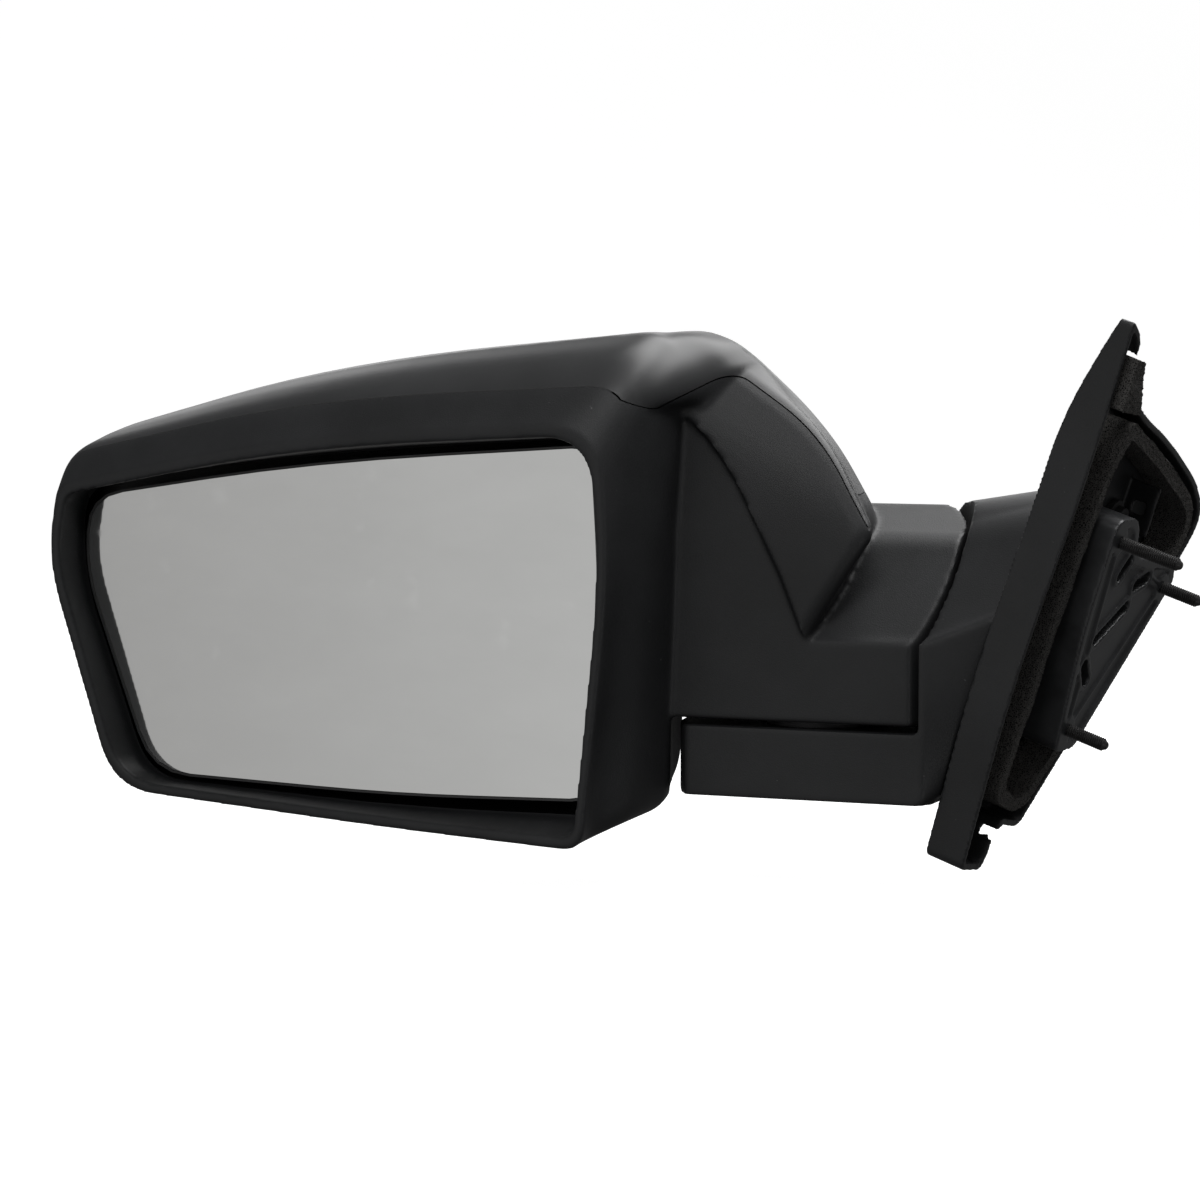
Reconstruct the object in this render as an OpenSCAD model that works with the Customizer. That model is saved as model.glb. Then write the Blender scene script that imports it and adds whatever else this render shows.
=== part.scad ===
// Car door mirror, power folding head on a sail-panel base.
// Rear (glass side) faces -Y, inboard is +X, up is +Z. The row origin is the
// centre of the bracket's pad face, which bears on the vehicle door.

/* [Shells] */
// Wall thickness of the moulded shells
wall = 2.7; // [2.2:0.1:3]
// Gap between the housing and the top cap at their seam
seam_gap = 0.4; // [0.3:0.1:0.8]
// Depth of the door panel skirt
skirt = 19; // [17:0.5:21]

/* [Glass] */
// Thickness of the mirror glass
glass_t = 2.2; // [1.8:0.1:2.6]
// Thickness of the heater film
heater_t = 0.8; // [0.5:0.1:1]
// Thickness of the glass holder plate
holder_t = 3; // [2.5:0.1:3.2]
// Width of the holder's rim around the glass
holder_rim = 1; // [0.8:0.1:1.4]
// Diameter of the universal joint pins
cross_pin_d = 5; // [4:0.5:5.5]
// Distance from the universal joint to each jack screw
jack_arm = 30; // [28:0.5:32]

/* [Fold pivot] */
// Radius of the arm end around the fold axis
arm_r = 63.5; // [62:0.5:64]
// Radial gap between the arm end and the base socket
socket_gap = 3; // [2:0.5:4]
// Vertical gap between the arm and the base platform
fold_gap = 3; // [2:0.5:4]
// Outer diameter of the hollow pivot post
post_d = 28; // [26:0.5:29]
// Wire diameter of the pivot spring
spring_wire = 4; // [3:0.5:4]

/* [Door mount] */
// Diameter of the mounting studs
stud_d = 6; // [5:1:6]
// Exposed length of the upper stud
long_stud = 28; // [24:1:32]
// Exposed length of the two lower studs
short_stud = 18; // [15:1:20]
// Height of the pad face above the panel rim
pad_h = 10; // [8:1:11]

/* [Hidden] */
$fn = 64;
far = 400;

// Door panel frame: origin, tilt of the panel and its toe-in
panel_at = [200, 15, 5.2];
panel_tilt = 18.5;
panel_toe = 8;
panel_fwd = [sin(panel_toe), cos(panel_toe), 0];
panel_up = [sin(panel_tilt) * cos(panel_toe), -sin(panel_tilt) * sin(panel_toe), cos(panel_tilt)];
panel_out = cross(panel_fwd, panel_up);
function on_panel_pt(s, h, w) = panel_at + s * panel_fwd + h * panel_up + w * panel_out;

// Row origin: centre of the bearing pad
pad_mid = [80, -20];
row_origin = on_panel_pt(pad_mid[0], pad_mid[1], pad_h);

// Fold axis and the levels of its stack
pivot = [88, 58];
socket_r = arm_r + socket_gap;
arm_z = -54;
deck_z = arm_z - fold_gap;
deck_low = -89;
bracket_low = deck_low + 3.2;
boss_top = -58;
ring_t = 8;
sleeve_low = boss_top + 2 * ring_t + 0.3;
sleeve_top = -26;
post_r = post_d / 2;
post_top = 3;
// The platform fits into a round recess of the head
recess_r = socket_r + 5;

// Universal joint of the glass and the actuator behind it
joint_at = [-130, 8, -14];
case_r = 52;
case_rear = 15;
case_split = 18;
case_front = 42;
glass_y = -6;
holder_back = glass_y + glass_t + heater_t + holder_t;
lip_y = -26;
seam_y = -14;
skin_y = 20;
tunnel_end = -3;

// Outlines are lists of corners [x, z, cut], where cut is the length that the
// corner's rounding takes from each side.
lip_outline = [
    [-265, 48, 8], [-271, 13, 20], [-237, -94, 22], [-100, -105, 40], [1, -111, 10],
    [14.5, 14, 40], [9, 80, 26], [-140, 72.5, 95]
];
seam_outline = [
    [-267, 62, 12], [-271.5, 13, 30], [-237, -93, 22], [-100, -104, 40], [2, -110, 12],
    [18, 14, 40], [20, 97, 22], [-140, 89, 95]
];
full_outline = [
    [-272, 70, 24], [-272, 8, 30], [-238, -92, 26], [-100, -102, 40], [24, -99, 16],
    [29, 10, 40], [30, 122, 20], [-140, 105, 95]
];
crest_outline = [
    [-270, 72, 28], [-270, 6, 34], [-236, -84, 30], [-100, -95, 40], [24, -92, 20],
    [30, 10, 40], [32, 123, 24], [-140, 108, 95]
];
dome_mid = [-100, 12];
dome_power = 3.4;
// Front surface: shallow outboard, deep inboard
outboard_depth = 38;
inboard_depth = 98;

// Shoulder outlines at the rear face, crown and front
shoulder_rear = [
    [88, -54, 4], [90, -18, 10], [122, 31, 6], [94.5, 77, 28], [48, 108, 9], [30, 99, 6], [4, 96, 6],
    [4, -54, 3]
];
shoulder_crown = [
    [88, -54, 4], [92, -18, 10], [112, 37, 9], [88, 79, 28], [43, 120, 16], [12, 120.5, 12], [-40, 115.5, 8],
    [-40, -54, 3]
];
shoulder_front = [
    [80, -48, 6], [84, -18, 10], [92, 28, 14], [68, 66, 24], [34, 92, 16], [12, 94, 14], [-18, 90, 14],
    [-18, -48, 6]
];
shoulder_mid = [56, 24];
shoulder_rear_y = 16.5;
shoulder_crown_y = 52;
shoulder_front_y = 110;
// Recessed flank beside the glass, in x and z
flank_recess = [
    [24, -60], [91, -60], [91, -16.5], [79, 13], [69, 32.5], [60, 50], [52, 62], [42, 74], [32, 82.5],
    [24, 87]
];
flank_foot = [[90, -60], [160, -60], [160, -16.5], [90, -16.5]];
// Band that carries the pod's upper corner over to the shoulder: [y, outline]
bridge = [
    [-10, [[-40, 82, 2], [20, 82, 2], [20.5, 90, 5], [18, 95.5, 6], [10, 97.8, 8], [-40, 94.5, 4]]],
    [1, [[-40, 86, 2], [27, 86, 2], [28.5, 92, 5], [25, 101, 6], [15, 107.3, 8], [-40, 102.5, 4]]],
    [12, [[-40, 87, 2], [33, 87, 2], [35, 93, 5], [31, 105, 6], [19, 113.5, 8], [-40, 108.5, 4]]],
    [25, [[-40, 88, 2], [41, 88, 2], [43.5, 95.5, 5], [38, 109, 6], [24, 119, 8], [-40, 113.8, 4]]],
    [36, [[-40, 88, 2], [46, 88, 2], [52, 101, 5], [43, 114, 6], [29, 120.8, 8], [-40, 115.2, 4]]],
    [50, [[-40, 88, 2], [50, 88, 2], [60, 104, 5], [47, 116, 6], [33, 121.3, 8], [-40, 115.6, 4]]]
];
// Arm section in y and z
arm_section = [
    [113, -54, 8], [113, 28, 8], [105, 42, 6], [58, 28, 7], [24, -14, 1.5], [20, -17.5, 1.5],
    [20, -54, 2]
];
// Base sections: at the socket in y and z, at the door panel in s and h
base_section = [
    [116, -89, 8], [116, 20, 10], [102, 43, 9], [76, 43, 9], [58, 29, 7], [24, -14, 2],
    [20, -17, 2], [20, -89, 3]
];
base_root = [
    [84, -88, 14], [134, 10, 14], [110, 44, 12], [60, 44, 12], [34, 32, 14], [12, -11, 6],
    [6, -16, 3], [5, -102, 6]
];
// Cap seam: over the brow and the shoulder face, ahead of them, and from the side
face_depth = 45;
brow_face = [
    [-320, -60, 1], [4, -60, 1], [4, 93.8, 3], [13, 91, 3], [26, 85.5, 2], [50, 102.5, 9], [92.5, 74.5, 30],
    [119.5, 32, 1], [119.5, 200, 1], [-320, 200, 1]
];
cap_face = [
    [-320, -52, 1], [10, -52, 1], [55, 32, 4], [96, 47, 4], [119.5, 47, 1], [119.5, 200, 1], [-320, 200, 1]
];
cap_side = [
    [-60, 46, 1], [-6, 46, 8], [30, -20, 8], [60, -52, 8], [140, -52, 1], [140, 200, 1], [-60, 200, 1]
];

// Glass and tunnel outlines
glass_outline = [
    [-258.5, 42, 18], [-260, 6, 16], [-226, -87.3, 20], [-100, -92, 40], [-5, -90, 7], [2, 0, 30],
    [-2, 69, 9], [-140, 60, 90]
];
tunnel_depth_outline = [
    [-263.5, 48, 18], [-264, 4, 20], [-230, -91, 20], [-100, -98.5, 40], [2, -98, 8], [9, 0, 30],
    [4, 74, 10], [-140, 65, 90]
];

// Door panel outlines in s and h
rim_outline = [
    [10, -130, 4], [33, -133, 4], [41, -112, 4], [62, -116, 6], [92, -78, 12], [150, -5, 22], [172, 29, 14],
    [150, 47, 20], [94, 70, 20], [55, 82, 10], [38, 90, 8], [17, 120, 5], [4, 127, 4], [6.5, 50, 40],
    [-1.5, -40, 40]
];
gasket_outline = [
    [19, -98, 8], [48, -108, 8], [62, -104, 8], [88, -74, 12], [142, -6, 22], [160, 26, 12], [146, 42, 18],
    [92, 64, 20], [54, 77, 8], [40, 82, 5], [27, 60, 25], [21, 0, 30]
];
pad_outline = [
    [37, -14, 20], [51, -74, 5], [72, -74, 5], [132, 4, 6], [122, 14, 6], [72, 18, 10],
    [62, 38, 10], [36, 38, 9]
];
// Cut of the skirt's upper end, in h and w above the skirt's edge
point_cut = [
    [50, -30], [50, -0.1], [66, 0], [82, 1.6], [98, 4.9], [114, 9], [130, 13.6], [146, 18.6], [146, -30]
];
stud_pts = [[46.6, 27], [57.4, -63.5], [118, 1]];
stud_lengths = [long_stud, short_stud, short_stud];
slot_pts = [[[60, 10], [66, 17]], [[56, -20], [80, -6]], [[84, 4], [96, 7]], [[52, -32], [60, -40]]];
base_screw_pts = [[32, -92], [11.5, -30], [111, 19.5]];
grommet_pt = [92, 27];

// ---- Outline and loft helpers ----
function flat(p) = [p[0], p[1]];
function unit(v) = v / norm(v);
function at(list, i) = list[(i + len(list)) % len(list)];
// Point on the way from p to q at the corner's cut, short of the edge's middle
function toward(p, q, cut) = p + min(cut, 0.47 * norm(q - p)) * unit(q - p);
// Points of a rounded outline, with steps + 1 points at each corner
function soft(c, steps = 4) = [
    for (i = [0:len(c) - 1])
        let (p = flat(c[i]), cut = c[i][2])
        let (a = toward(p, flat(at(c, i - 1)), cut), b = toward(p, flat(at(c, i + 1)), cut))
        for (j = [0:steps])
            let (t = j / steps) (1 - t) * (1 - t) * a + 2 * t * (1 - t) * p + t * t * b
];
function left_of(a, b) = let (d = unit(b - a)) [-d[1], d[0]];
// Outline moved inward by d, for corners listed anticlockwise
function inset(c, d) = [
    for (i = [0:len(c) - 1])
        let (p = flat(c[i]), n0 = left_of(flat(at(c, i - 1)), p), n1 = left_of(p, flat(at(c, i + 1))))
        let (q = p + d * (n0 + n1) / (1 + n0 * n1))
        [q[0], q[1], max(c[i][2] - 0.4 * d, 0.6)]
];
function mix(a, b, t) = a + (b - a) * t;
function mean(pts) = [for (k = [0:2]) [for (p = pts) p[k]] * [for (p = pts) 1] / len(pts)];

// Closed solid through rings of equal length, fanned shut at both ends
module loft(rings) {
    n = len(rings[0]);
    m = len(rings);
    pts = [for (r = rings) each r, mean(rings[0]), mean(rings[m - 1])];
    polyhedron(pts, [
        for (i = [0:m - 2], j = [0:n - 1])
            let (k = (j + 1) % n) each [
                [i * n + j, i * n + k, (i + 1) * n + k],
                [i * n + j, (i + 1) * n + k, (i + 1) * n + j]
            ],
        for (j = [0:n - 1]) [m * n, (j + 1) % n, j],
        for (j = [0:n - 1]) [m * n + 1, (m - 1) * n + j, (m - 1) * n + (j + 1) % n]
    ], convexity = 10);
}
// Solid of one outline in x and z, from y0 to y1
module slab_y(points, y0, y1) {
    translate([0, y1, 0]) rotate([90, 0, 0]) linear_extrude(y1 - y0) polygon(points);
}
// Solid of one outline in y and z, from x0 to x1
module slab_x(points, x0, x1) {
    translate([x0, 0, 0]) rotate([90, 0, 90]) linear_extrude(x1 - x0) polygon(points);
}
module at_pivot(z) {
    translate([pivot[0], pivot[1], z]) children();
}
module tube(r_out, r_in, h) {
    difference() {
        cylinder(r = r_out, h = h);
        translate([0, 0, -1]) cylinder(r = r_in, h = h + 2);
    }
}
module on_panel() {
    translate(panel_at) rotate([90 + panel_tilt, 0, 90 - panel_toe]) children();
}
module plate(corners, w0, w1) {
    translate([0, 0, w0]) linear_extrude(w1 - w0) polygon(soft(corners));
}
module in_row() {
    translate(-row_origin) children();
}
// Direction square to t
function side_dir(t) = unit(cross(t, abs(t[2]) < 0.9 ? [0, 0, 1] : [0, 1, 0]));
// Round bar or bundle swept along a route
module bundle(route, r, sides = 10) {
    loft([
        for (i = [0:len(route) - 1])
            let (t = unit(route[min(i + 1, len(route) - 1)] - route[max(i - 1, 0)]))
            let (u = side_dir(t), v = cross(u, t))
            [for (j = [0:sides - 1]) route[i] + r * (cos(360 * j / sides) * u + sin(360 * j / sides) * v)]
    ]);
}

// ---- Head skin ----
function front_y(x) = outboard_depth + (inboard_depth - outboard_depth) * (x + 270) / 300;
function ring_at(corners, y) = [for (p = soft(corners)) [p[0], y, p[1]]];
// Ring of the domed front: t runs from 0 at the full section to 1 at the tip
function dome_ring(d, t) =
    let (s = pow(1 - pow(t, dome_power), 0.5))
    [
        for (p = soft(inset(mix(full_outline, crest_outline, min(1, 2.5 * t)), d)))
            let (q = dome_mid + (p - dome_mid) * max(s, 0.12))
            [q[0], skin_y + t * (front_y(q[0]) - d - skin_y), q[1]]
    ];
module pod(d, start_y) {
    k = (start_y - lip_y) / (seam_y - lip_y);
    loft(concat(
        [ring_at(inset(mix(lip_outline, seam_outline, k), d), start_y)],
        [ring_at(inset(seam_outline, d), seam_y)],
        [ring_at(inset(mix(seam_outline, full_outline, 0.6), d), 1)],
        [for (t = [0, 0.2, 0.4, 0.6, 0.75, 0.87, 0.95, 1]) dome_ring(d, t)]
    ));
}
// The shoulder's rear face leans forward toward its upper end, and the lean fades at the crown
function lean(p, y) =
    let (rise = 0.45 * (p[0] - 56) + 0.9 * (p[1] - 10) - 5)
    y + 25 * pow(max(0, rise) / 78, 3) * max(0, min(1, (shoulder_crown_y - y) / 35.5));
function leaning_ring(points, y) = [for (p = points) [p[0], lean(p, y), p[1]]];
module shoulder(d) {
    rear = shoulder_rear_y + d;
    edge = soft(inset(shoulder_rear, d + 1.5));
    loft(concat(
        [
            for (s = [0.02, 0.3, 0.6, 0.85, 1])
                leaning_ring([for (p = edge) shoulder_mid + (p - shoulder_mid) * s], rear)
        ],
        [leaning_ring(soft(inset(shoulder_rear, d)), rear + 1.5)],
        [leaning_ring(soft(inset(mix(shoulder_rear, shoulder_crown, 0.5), d)), shoulder_rear_y + 12)],
        [leaning_ring(soft(inset(mix(shoulder_rear, shoulder_crown, 0.85), d)), shoulder_rear_y + 24)],
        [ring_at(inset(shoulder_crown, d), shoulder_crown_y)],
        [ring_at(inset(mix(shoulder_crown, shoulder_front, 0.2), d), shoulder_crown_y + 22)],
        [ring_at(inset(mix(shoulder_crown, shoulder_front, 0.55), d), shoulder_front_y - 15)],
        [ring_at(inset(shoulder_front, d), shoulder_front_y - d)]
    ));
}
module flank(d) {
    loft([
        [for (p = flank_recess) [p[0], 0, p[1]]],
        leaning_ring(flank_recess, skin_y + d)
    ]);
    slab_y(flank_foot, 0, skin_y + d);
}
module pod_bridge(d) {
    loft([for (b = bridge) ring_at(inset(b[1], d), b[0] + (b[0] < 0 ? d : 0))]);
}
module arm(d) {
    slab_x(soft(inset(arm_section, d)), 20, pivot[0] + arm_r);
}
// Whole head skin, moved inward by d
module head_solid(d, start_y) {
    difference() {
        union() {
            pod(d, start_y);
            pod_bridge(d);
            difference() {
                union() {
                    shoulder(d);
                    arm(d);
                }
                flank(d);
                difference() {
                    translate([pivot[0], -far / 2, -far / 2]) cube([far, far, far]);
                    at_pivot(-far / 2) cylinder(r = arm_r - d, h = far, $fn = 120);
                }
            }
        }
        at_pivot(-far) cylinder(r = recess_r + d, h = far + arm_z + d, $fn = 120);
    }
}
module cap_zone(gap) {
    intersection() {
        union() {
            slab_y(soft(inset(brow_face, gap)), seam_y + gap, face_depth);
            slab_y(soft(inset(cap_face, gap)), face_depth - 0.5 + gap, far);
        }
        slab_x(soft(inset(cap_side, gap)), -far, far);
    }
}

// ---- Head shells ----
module tunnel(grow, y0, y1) {
    k0 = (y0 - lip_y) / (tunnel_end - lip_y);
    k1 = (y1 - lip_y) / (tunnel_end - lip_y);
    inner_lip = inset(lip_outline, 5);
    loft([
        ring_at(inset(mix(inner_lip, tunnel_depth_outline, k0), -grow), y0),
        ring_at(inset(mix(inner_lip, tunnel_depth_outline, k1), -grow), y1)
    ]);
}
module head_housing() {
    color("#26282a") in_row() {
        difference() {
            head_solid(0, lip_y);
            difference() {
                head_solid(wall, lip_y + wall);
                tunnel(2.2, lip_y, tunnel_end);
            }
            cap_zone(0);
            tunnel(0, lip_y - 1, tunnel_end + 1);
            at_pivot(arm_z - 1) cylinder(r = post_r + 15.5, h = wall + 2);
        }
    }
}
module top_cap() {
    color("#3a3c3e") in_row() {
        intersection() {
            difference() {
                head_solid(0, lip_y);
                head_solid(wall, lip_y + wall);
            }
            cap_zone(seam_gap);
        }
    }
}

// ---- Door side base ----
function yz_ring(corners, x) = [for (p = soft(corners)) [x, p[0], p[1]]];
function panel_ring(corners, w) = [for (p = soft(corners)) on_panel_pt(p[0], p[1], w)];
module base_body(d, w_end) {
    loft([
        panel_ring(inset(base_root, d), w_end),
        yz_ring(inset(base_section, d), pivot[0] + 57),
        yz_ring(inset(base_section, d), pivot[0] + 25)
    ]);
}
module deck_plan(d) {
    intersection() {
        union() {
            circle(r = socket_r - d, $fn = 120);
            translate([0, -38 + d]) square([50, 96 - 2 * d]);
        }
        translate([-80, -38 + d]) square([140, 96 - 2 * d]);
    }
}
module deck(d) {
    at_pivot(deck_low + d) linear_extrude(deck_z - deck_low - 2 * d) deck_plan(d);
}
module base_cover() {
    color("#2b2d2f") in_row() {
        difference() {
            union() {
                base_body(0, -skirt - 0.3);
                deck(0);
            }
            difference() {
                union() {
                    base_body(wall, -skirt - 0.2);
                    deck(wall);
                }
                at_pivot(deck_z - wall) cylinder(r = socket_r + wall, h = far, $fn = 120);
            }
            at_pivot(deck_z) cylinder(r = socket_r, h = far, $fn = 120);
            at_pivot(deck_z - wall - 1) cylinder(r = 30, h = wall + 2);
            at_pivot(deck_low - 1) cylinder(r = 25, h = wall + 2);
        }
        on_panel() {
            for (p = base_screw_pts) {
                translate([p[0], p[1], -skirt - 12]) tube(4.6, 2, 11.7);
            }
        }
    }
}
module sail_panel() {
    color("#303234") in_row() on_panel() {
        difference() {
            plate(rim_outline, -skirt, 0);
            plate(inset(rim_outline, 3), -skirt + 3, 1);
            // Passage for the bracket and the harness
            plate(inset(pad_outline, 6.5), -skirt - 1, -skirt + 4);
            translate([grommet_pt[0], grommet_pt[1], -skirt - 1]) cylinder(r = 7.1, h = 6);
            for (p = base_screw_pts) {
                translate([p[0], p[1], -skirt - 1]) cylinder(d = 4.5, h = 6);
            }
            // Upper end of the skirt, drawn out to a thin point
            translate([-20, 0, -skirt]) rotate([90, 0, 90]) linear_extrude(120) polygon(point_cut);
            // Open notch behind the point
            translate([20, 92, -10]) cube([30, 40, 20]);
            translate([36, -140, -8]) cube([8, 26, 20]);
        }
        // Moulded clip wall with a square window
        difference() {
            translate([104, 22, -skirt + 2.5]) cube([2, 24, 16]);
            translate([103, 31, -11]) cube([4, 6, 6]);
        }
    }
}
module panel_gasket() {
    color("#141414") in_row() on_panel() {
        difference() {
            plate(gasket_outline, -skirt + 3, 2);
            plate(inset(gasket_outline, 9), -skirt, 4);
            for (p = base_screw_pts) {
                translate([p[0], p[1], -skirt]) cylinder(d = 10, h = 8);
            }
        }
    }
}
module corner_foam() {
    color("#161616") in_row() on_panel() {
        plate([[9, 86, 2], [34, 84, 2], [20, 110, 2], [10, 112, 2]], -9, 6);
    }
}
module below_panel(w) {
    difference() {
        children();
        on_panel() translate([-far, -far, w]) cube([2 * far, 2 * far, far]);
    }
}
module mount_bracket() {
    color("#3b3d40") in_row() {
        difference() {
            union() {
                on_panel() difference() {
                    union() {
                        plate(pad_outline, -skirt + 3.5, pad_h);
                        plate(inset(pad_outline, 8), -skirt - 3, -skirt + 4);
                    }
                    // Hollow back of the pad, between its ribs
                    plate([[82, -40, 8], [116, 2, 8], [84, 6, 8]], -skirt - 4, pad_h - 6);
                }
                at_pivot(bracket_low) cylinder(r = 28, h = boss_top - bracket_low);
                at_pivot(bracket_low) linear_extrude(20) polygon([
                    [0, -24], [50, -24], [55, -18], [55, 22], [50, 28], [0, 24]
                ]);
                // Rib from the platform up to the pad
                below_panel(-skirt - 0.5) slab_y([
                    [135, bracket_low], [142, bracket_low], [156, -68], [230, -68], [230, -20], [186, -20],
                    [162, -60], [135, -66]
                ], 64, 88);
            }
            // Post bore with a seat for its flange
            at_pivot(deck_low) cylinder(r = post_r, h = 60);
            at_pivot(deck_low) cylinder(r = 19.2, h = 23);
            // Harness channel under the arm
            at_pivot(deck_low) rotate(43) translate([0, -6, 0]) cube([80, 12, 17]);
            // Stamped slots and stud seats of the pad
            on_panel() {
                for (s = slot_pts) {
                    translate([0, 0, pad_h - 5]) linear_extrude(6) hull() {
                        translate(s[0]) circle(r = 3, $fn = 24);
                        translate(s[1]) circle(r = 3, $fn = 24);
                    }
                }
                for (p = stud_pts) {
                    translate([p[0], p[1], -4]) cylinder(d = stud_d + 2, h = 20);
                }
            }
        }
    }
}
module mount_studs() {
    color("silver") in_row() on_panel() {
        for (i = [0:2]) {
            translate([stud_pts[i][0], stud_pts[i][1], 0]) {
                translate([0, 0, -4]) cylinder(d = stud_d + 2, h = pad_h + 4);
                translate([0, 0, pad_h]) cylinder(d = stud_d, h = stud_lengths[i]);
                translate([0, 0, pad_h + stud_lengths[i]])
                    cylinder(d1 = stud_d - 0.6, d2 = stud_d - 2.4, h = 2);
            }
        }
    }
}
module wire_grommet() {
    color("#1c1c1c") in_row() on_panel() translate([grommet_pt[0], grommet_pt[1], 0]) {
        difference() {
            union() {
                translate([0, 0, -skirt - 4]) cylinder(r = 7, h = 14);
                translate([0, 0, -skirt + 3.2]) cylinder(r = 9.5, h = 3);
            }
            translate([0, 0, -skirt - 5]) cylinder(r = 4.2, h = 20);
        }
    }
}
base_route = [
    [88, 58, -41.2], [88, 58, -60], [89, 59, -70], [93, 62.5, -76], [100, 69, -78], [120, 88, -78],
    [132, 97, -76], [142, 100, -72], [150, 101, -60], [158, 102, -40], [169, 103, -10], [176, 105, 12],
    [184, 107.5, 30],
    on_panel_pt(grommet_pt[0], grommet_pt[1], -30), on_panel_pt(grommet_pt[0], grommet_pt[1], -25),
    on_panel_pt(grommet_pt[0], grommet_pt[1], -skirt + 8)
];
head_route = [
    [88, 58, -40.8], [88, 58, -2], [86, 59, 8], [78, 61, 15], [66, 64, 17], [44, 68, 16], [20, 70, 14],
    [-10, 66, 12], [-36, 56, 10], [-50, 44, 9], [-58, 36, 8], [-64, 32.8, 8], [-69.4, 32.5, 8]
];
module base_harness() {
    color("#18181a") in_row() bundle(base_route, 4);
}
module pivot_post() {
    color("#8d9093") in_row() at_pivot(deck_low + 19.2) {
        difference() {
            union() {
                cylinder(r = post_r, h = post_top - deck_low - 19.2);
                cylinder(r = 19, h = 3.8);
            }
            translate([0, 0, -1]) cylinder(r = 8.5, h = far);
            translate([0, 0, post_top - deck_low - 19.2 - 4]) tube(post_r + 1, post_r - 1.2, 1.8);
        }
    }
}
ball_r = 3;
ball_ring_r = 20.5;
ball_z = boss_top + ring_t - 0.5;
module lower_detent_ring() {
    color("#70747a") in_row() difference() {
        at_pivot(boss_top) tube(27, post_r + 0.1, ring_t);
        for (i = [0:2]) {
            at_pivot(ball_z - ball_r) rotate(120 * i) translate([ball_ring_r, 0, 0])
                cylinder(r = ball_r + 0.1, h = 20);
        }
    }
}
module detent_balls() {
    color("#c8ccd0") in_row() {
        for (i = [0:2]) {
            at_pivot(ball_z) rotate(120 * i) translate([ball_ring_r, 0, 0]) sphere(r = ball_r);
        }
    }
}
module upper_detent_ring() {
    color("#70747a") in_row() difference() {
        at_pivot(boss_top + ring_t + 0.3) tube(27, post_r + 0.3, ring_t);
        at_pivot(ball_z) rotate_extrude() translate([ball_ring_r, 0]) circle(r = ball_r + 0.3, $fn = 32);
    }
}
module thrust_washer() {
    color("#c9b27a") in_row() at_pivot(sleeve_top + 0.3) tube(24, post_r + 0.1, 2);
}
module pivot_spring() {
    r_mid = post_r + 1 + spring_wire / 2;
    low = sleeve_top + 2.4 + spring_wire / 2;
    rise = post_top - 6.4 - spring_wire / 2 - low;
    turns = 2.5;
    color("#9a9da0") in_row() at_pivot(low) bundle([
        for (a = [0:18:360 * turns])
            [r_mid * cos(a), r_mid * sin(a), rise * a / (360 * turns)]
    ], spring_wire / 2, 8);
}
module spring_retainer() {
    color("#8a8d90") in_row() at_pivot(post_top - 6.2) difference() {
        cylinder(r = 19, h = 2.2);
        translate([0, 0, -1]) cylinder(r = post_r + 0.1, h = 6);
    }
}
module retaining_ring() {
    color("#55585b") in_row() at_pivot(post_top - 3.9) difference() {
        tube(post_r + 2.6, post_r - 1.1, 1.6);
        translate([8, -3, -1]) cube([20, 6, 4]);
    }
}
module pivot_plug() {
    color("#202224") in_row() at_pivot(deck_low) {
        cylinder(r = 24.6, h = 2);
        translate([0, 0, 2]) tube(18.8, 16.8, 3);
    }
}
module pan_screw(d, head_d, length) {
    cylinder(d = d, h = length);
    translate([0, 0, length]) difference() {
        cylinder(d = head_d, h = 2.4);
        translate([0, 0, 1]) cube([head_d * 0.5, 1, 4], center = true);
        translate([0, 0, 1]) cube([1, head_d * 0.5, 4], center = true);
    }
}
module base_screws() {
    color("#b9bcc0") in_row() on_panel() {
        for (p = base_screw_pts) {
            translate([p[0], p[1], -skirt - 9]) pan_screw(4, 8, 12);
        }
    }
}

// ---- Parts inside the head ----
frame_y = case_front + 0.3;
frame_screw_pts = [for (a = [90, 180, 270]) [joint_at[0] + 47.5 * cos(a), joint_at[2] + 47.5 * sin(a)]];
module facing_y(p, y) {
    translate([p[0], y, p[1]]) rotate([-90, 0, 0]) children();
}
module inner_frame() {
    color("#4a4d50") in_row() {
        difference() {
            union() {
                facing_y([joint_at[0], joint_at[2]], frame_y) cylinder(r = 54, h = 3.2);
                translate([0, 0, -38]) linear_extrude(30) polygon([
                    [-84, frame_y], [-84, frame_y + 6], [30, 72], [76, 78], [76, 38], [30, 58]
                ]);
                at_pivot(sleeve_low) cylinder(r = 27, h = sleeve_top - sleeve_low);
            }
            facing_y([joint_at[0], joint_at[2]], frame_y - 1) cylinder(r = 40, h = 9);
            at_pivot(sleeve_low - 1) cylinder(r = post_r + 3, h = 60);
            at_pivot(sleeve_top) cylinder(r = 29, h = 60);
            for (p = frame_screw_pts) {
                facing_y(p, frame_y - 1) cylinder(d = 4.4, h = 9);
            }
            // Lightening pockets in the beam
            for (x = [-60, -30, 0, 30]) {
                translate([x, 30, -32]) cube([20, 60, 18]);
            }
        }
    }
}
module pivot_bushing() {
    color("#d8d2c0") in_row() {
        at_pivot(sleeve_low) tube(post_r + 3, post_r + 0.08, sleeve_top - sleeve_low);
    }
}
module frame_screws() {
    color("#b9bcc0") in_row() {
        for (p = frame_screw_pts) {
            facing_y(p, case_front - 8) pan_screw(4.4, 8, frame_y + 3.2 - case_front + 8);
        }
    }
}
case_screw_pts = [for (a = [340, 160, 225, 285]) [joint_at[0] + 47 * cos(a), joint_at[2] + 47 * sin(a)]];
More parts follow.
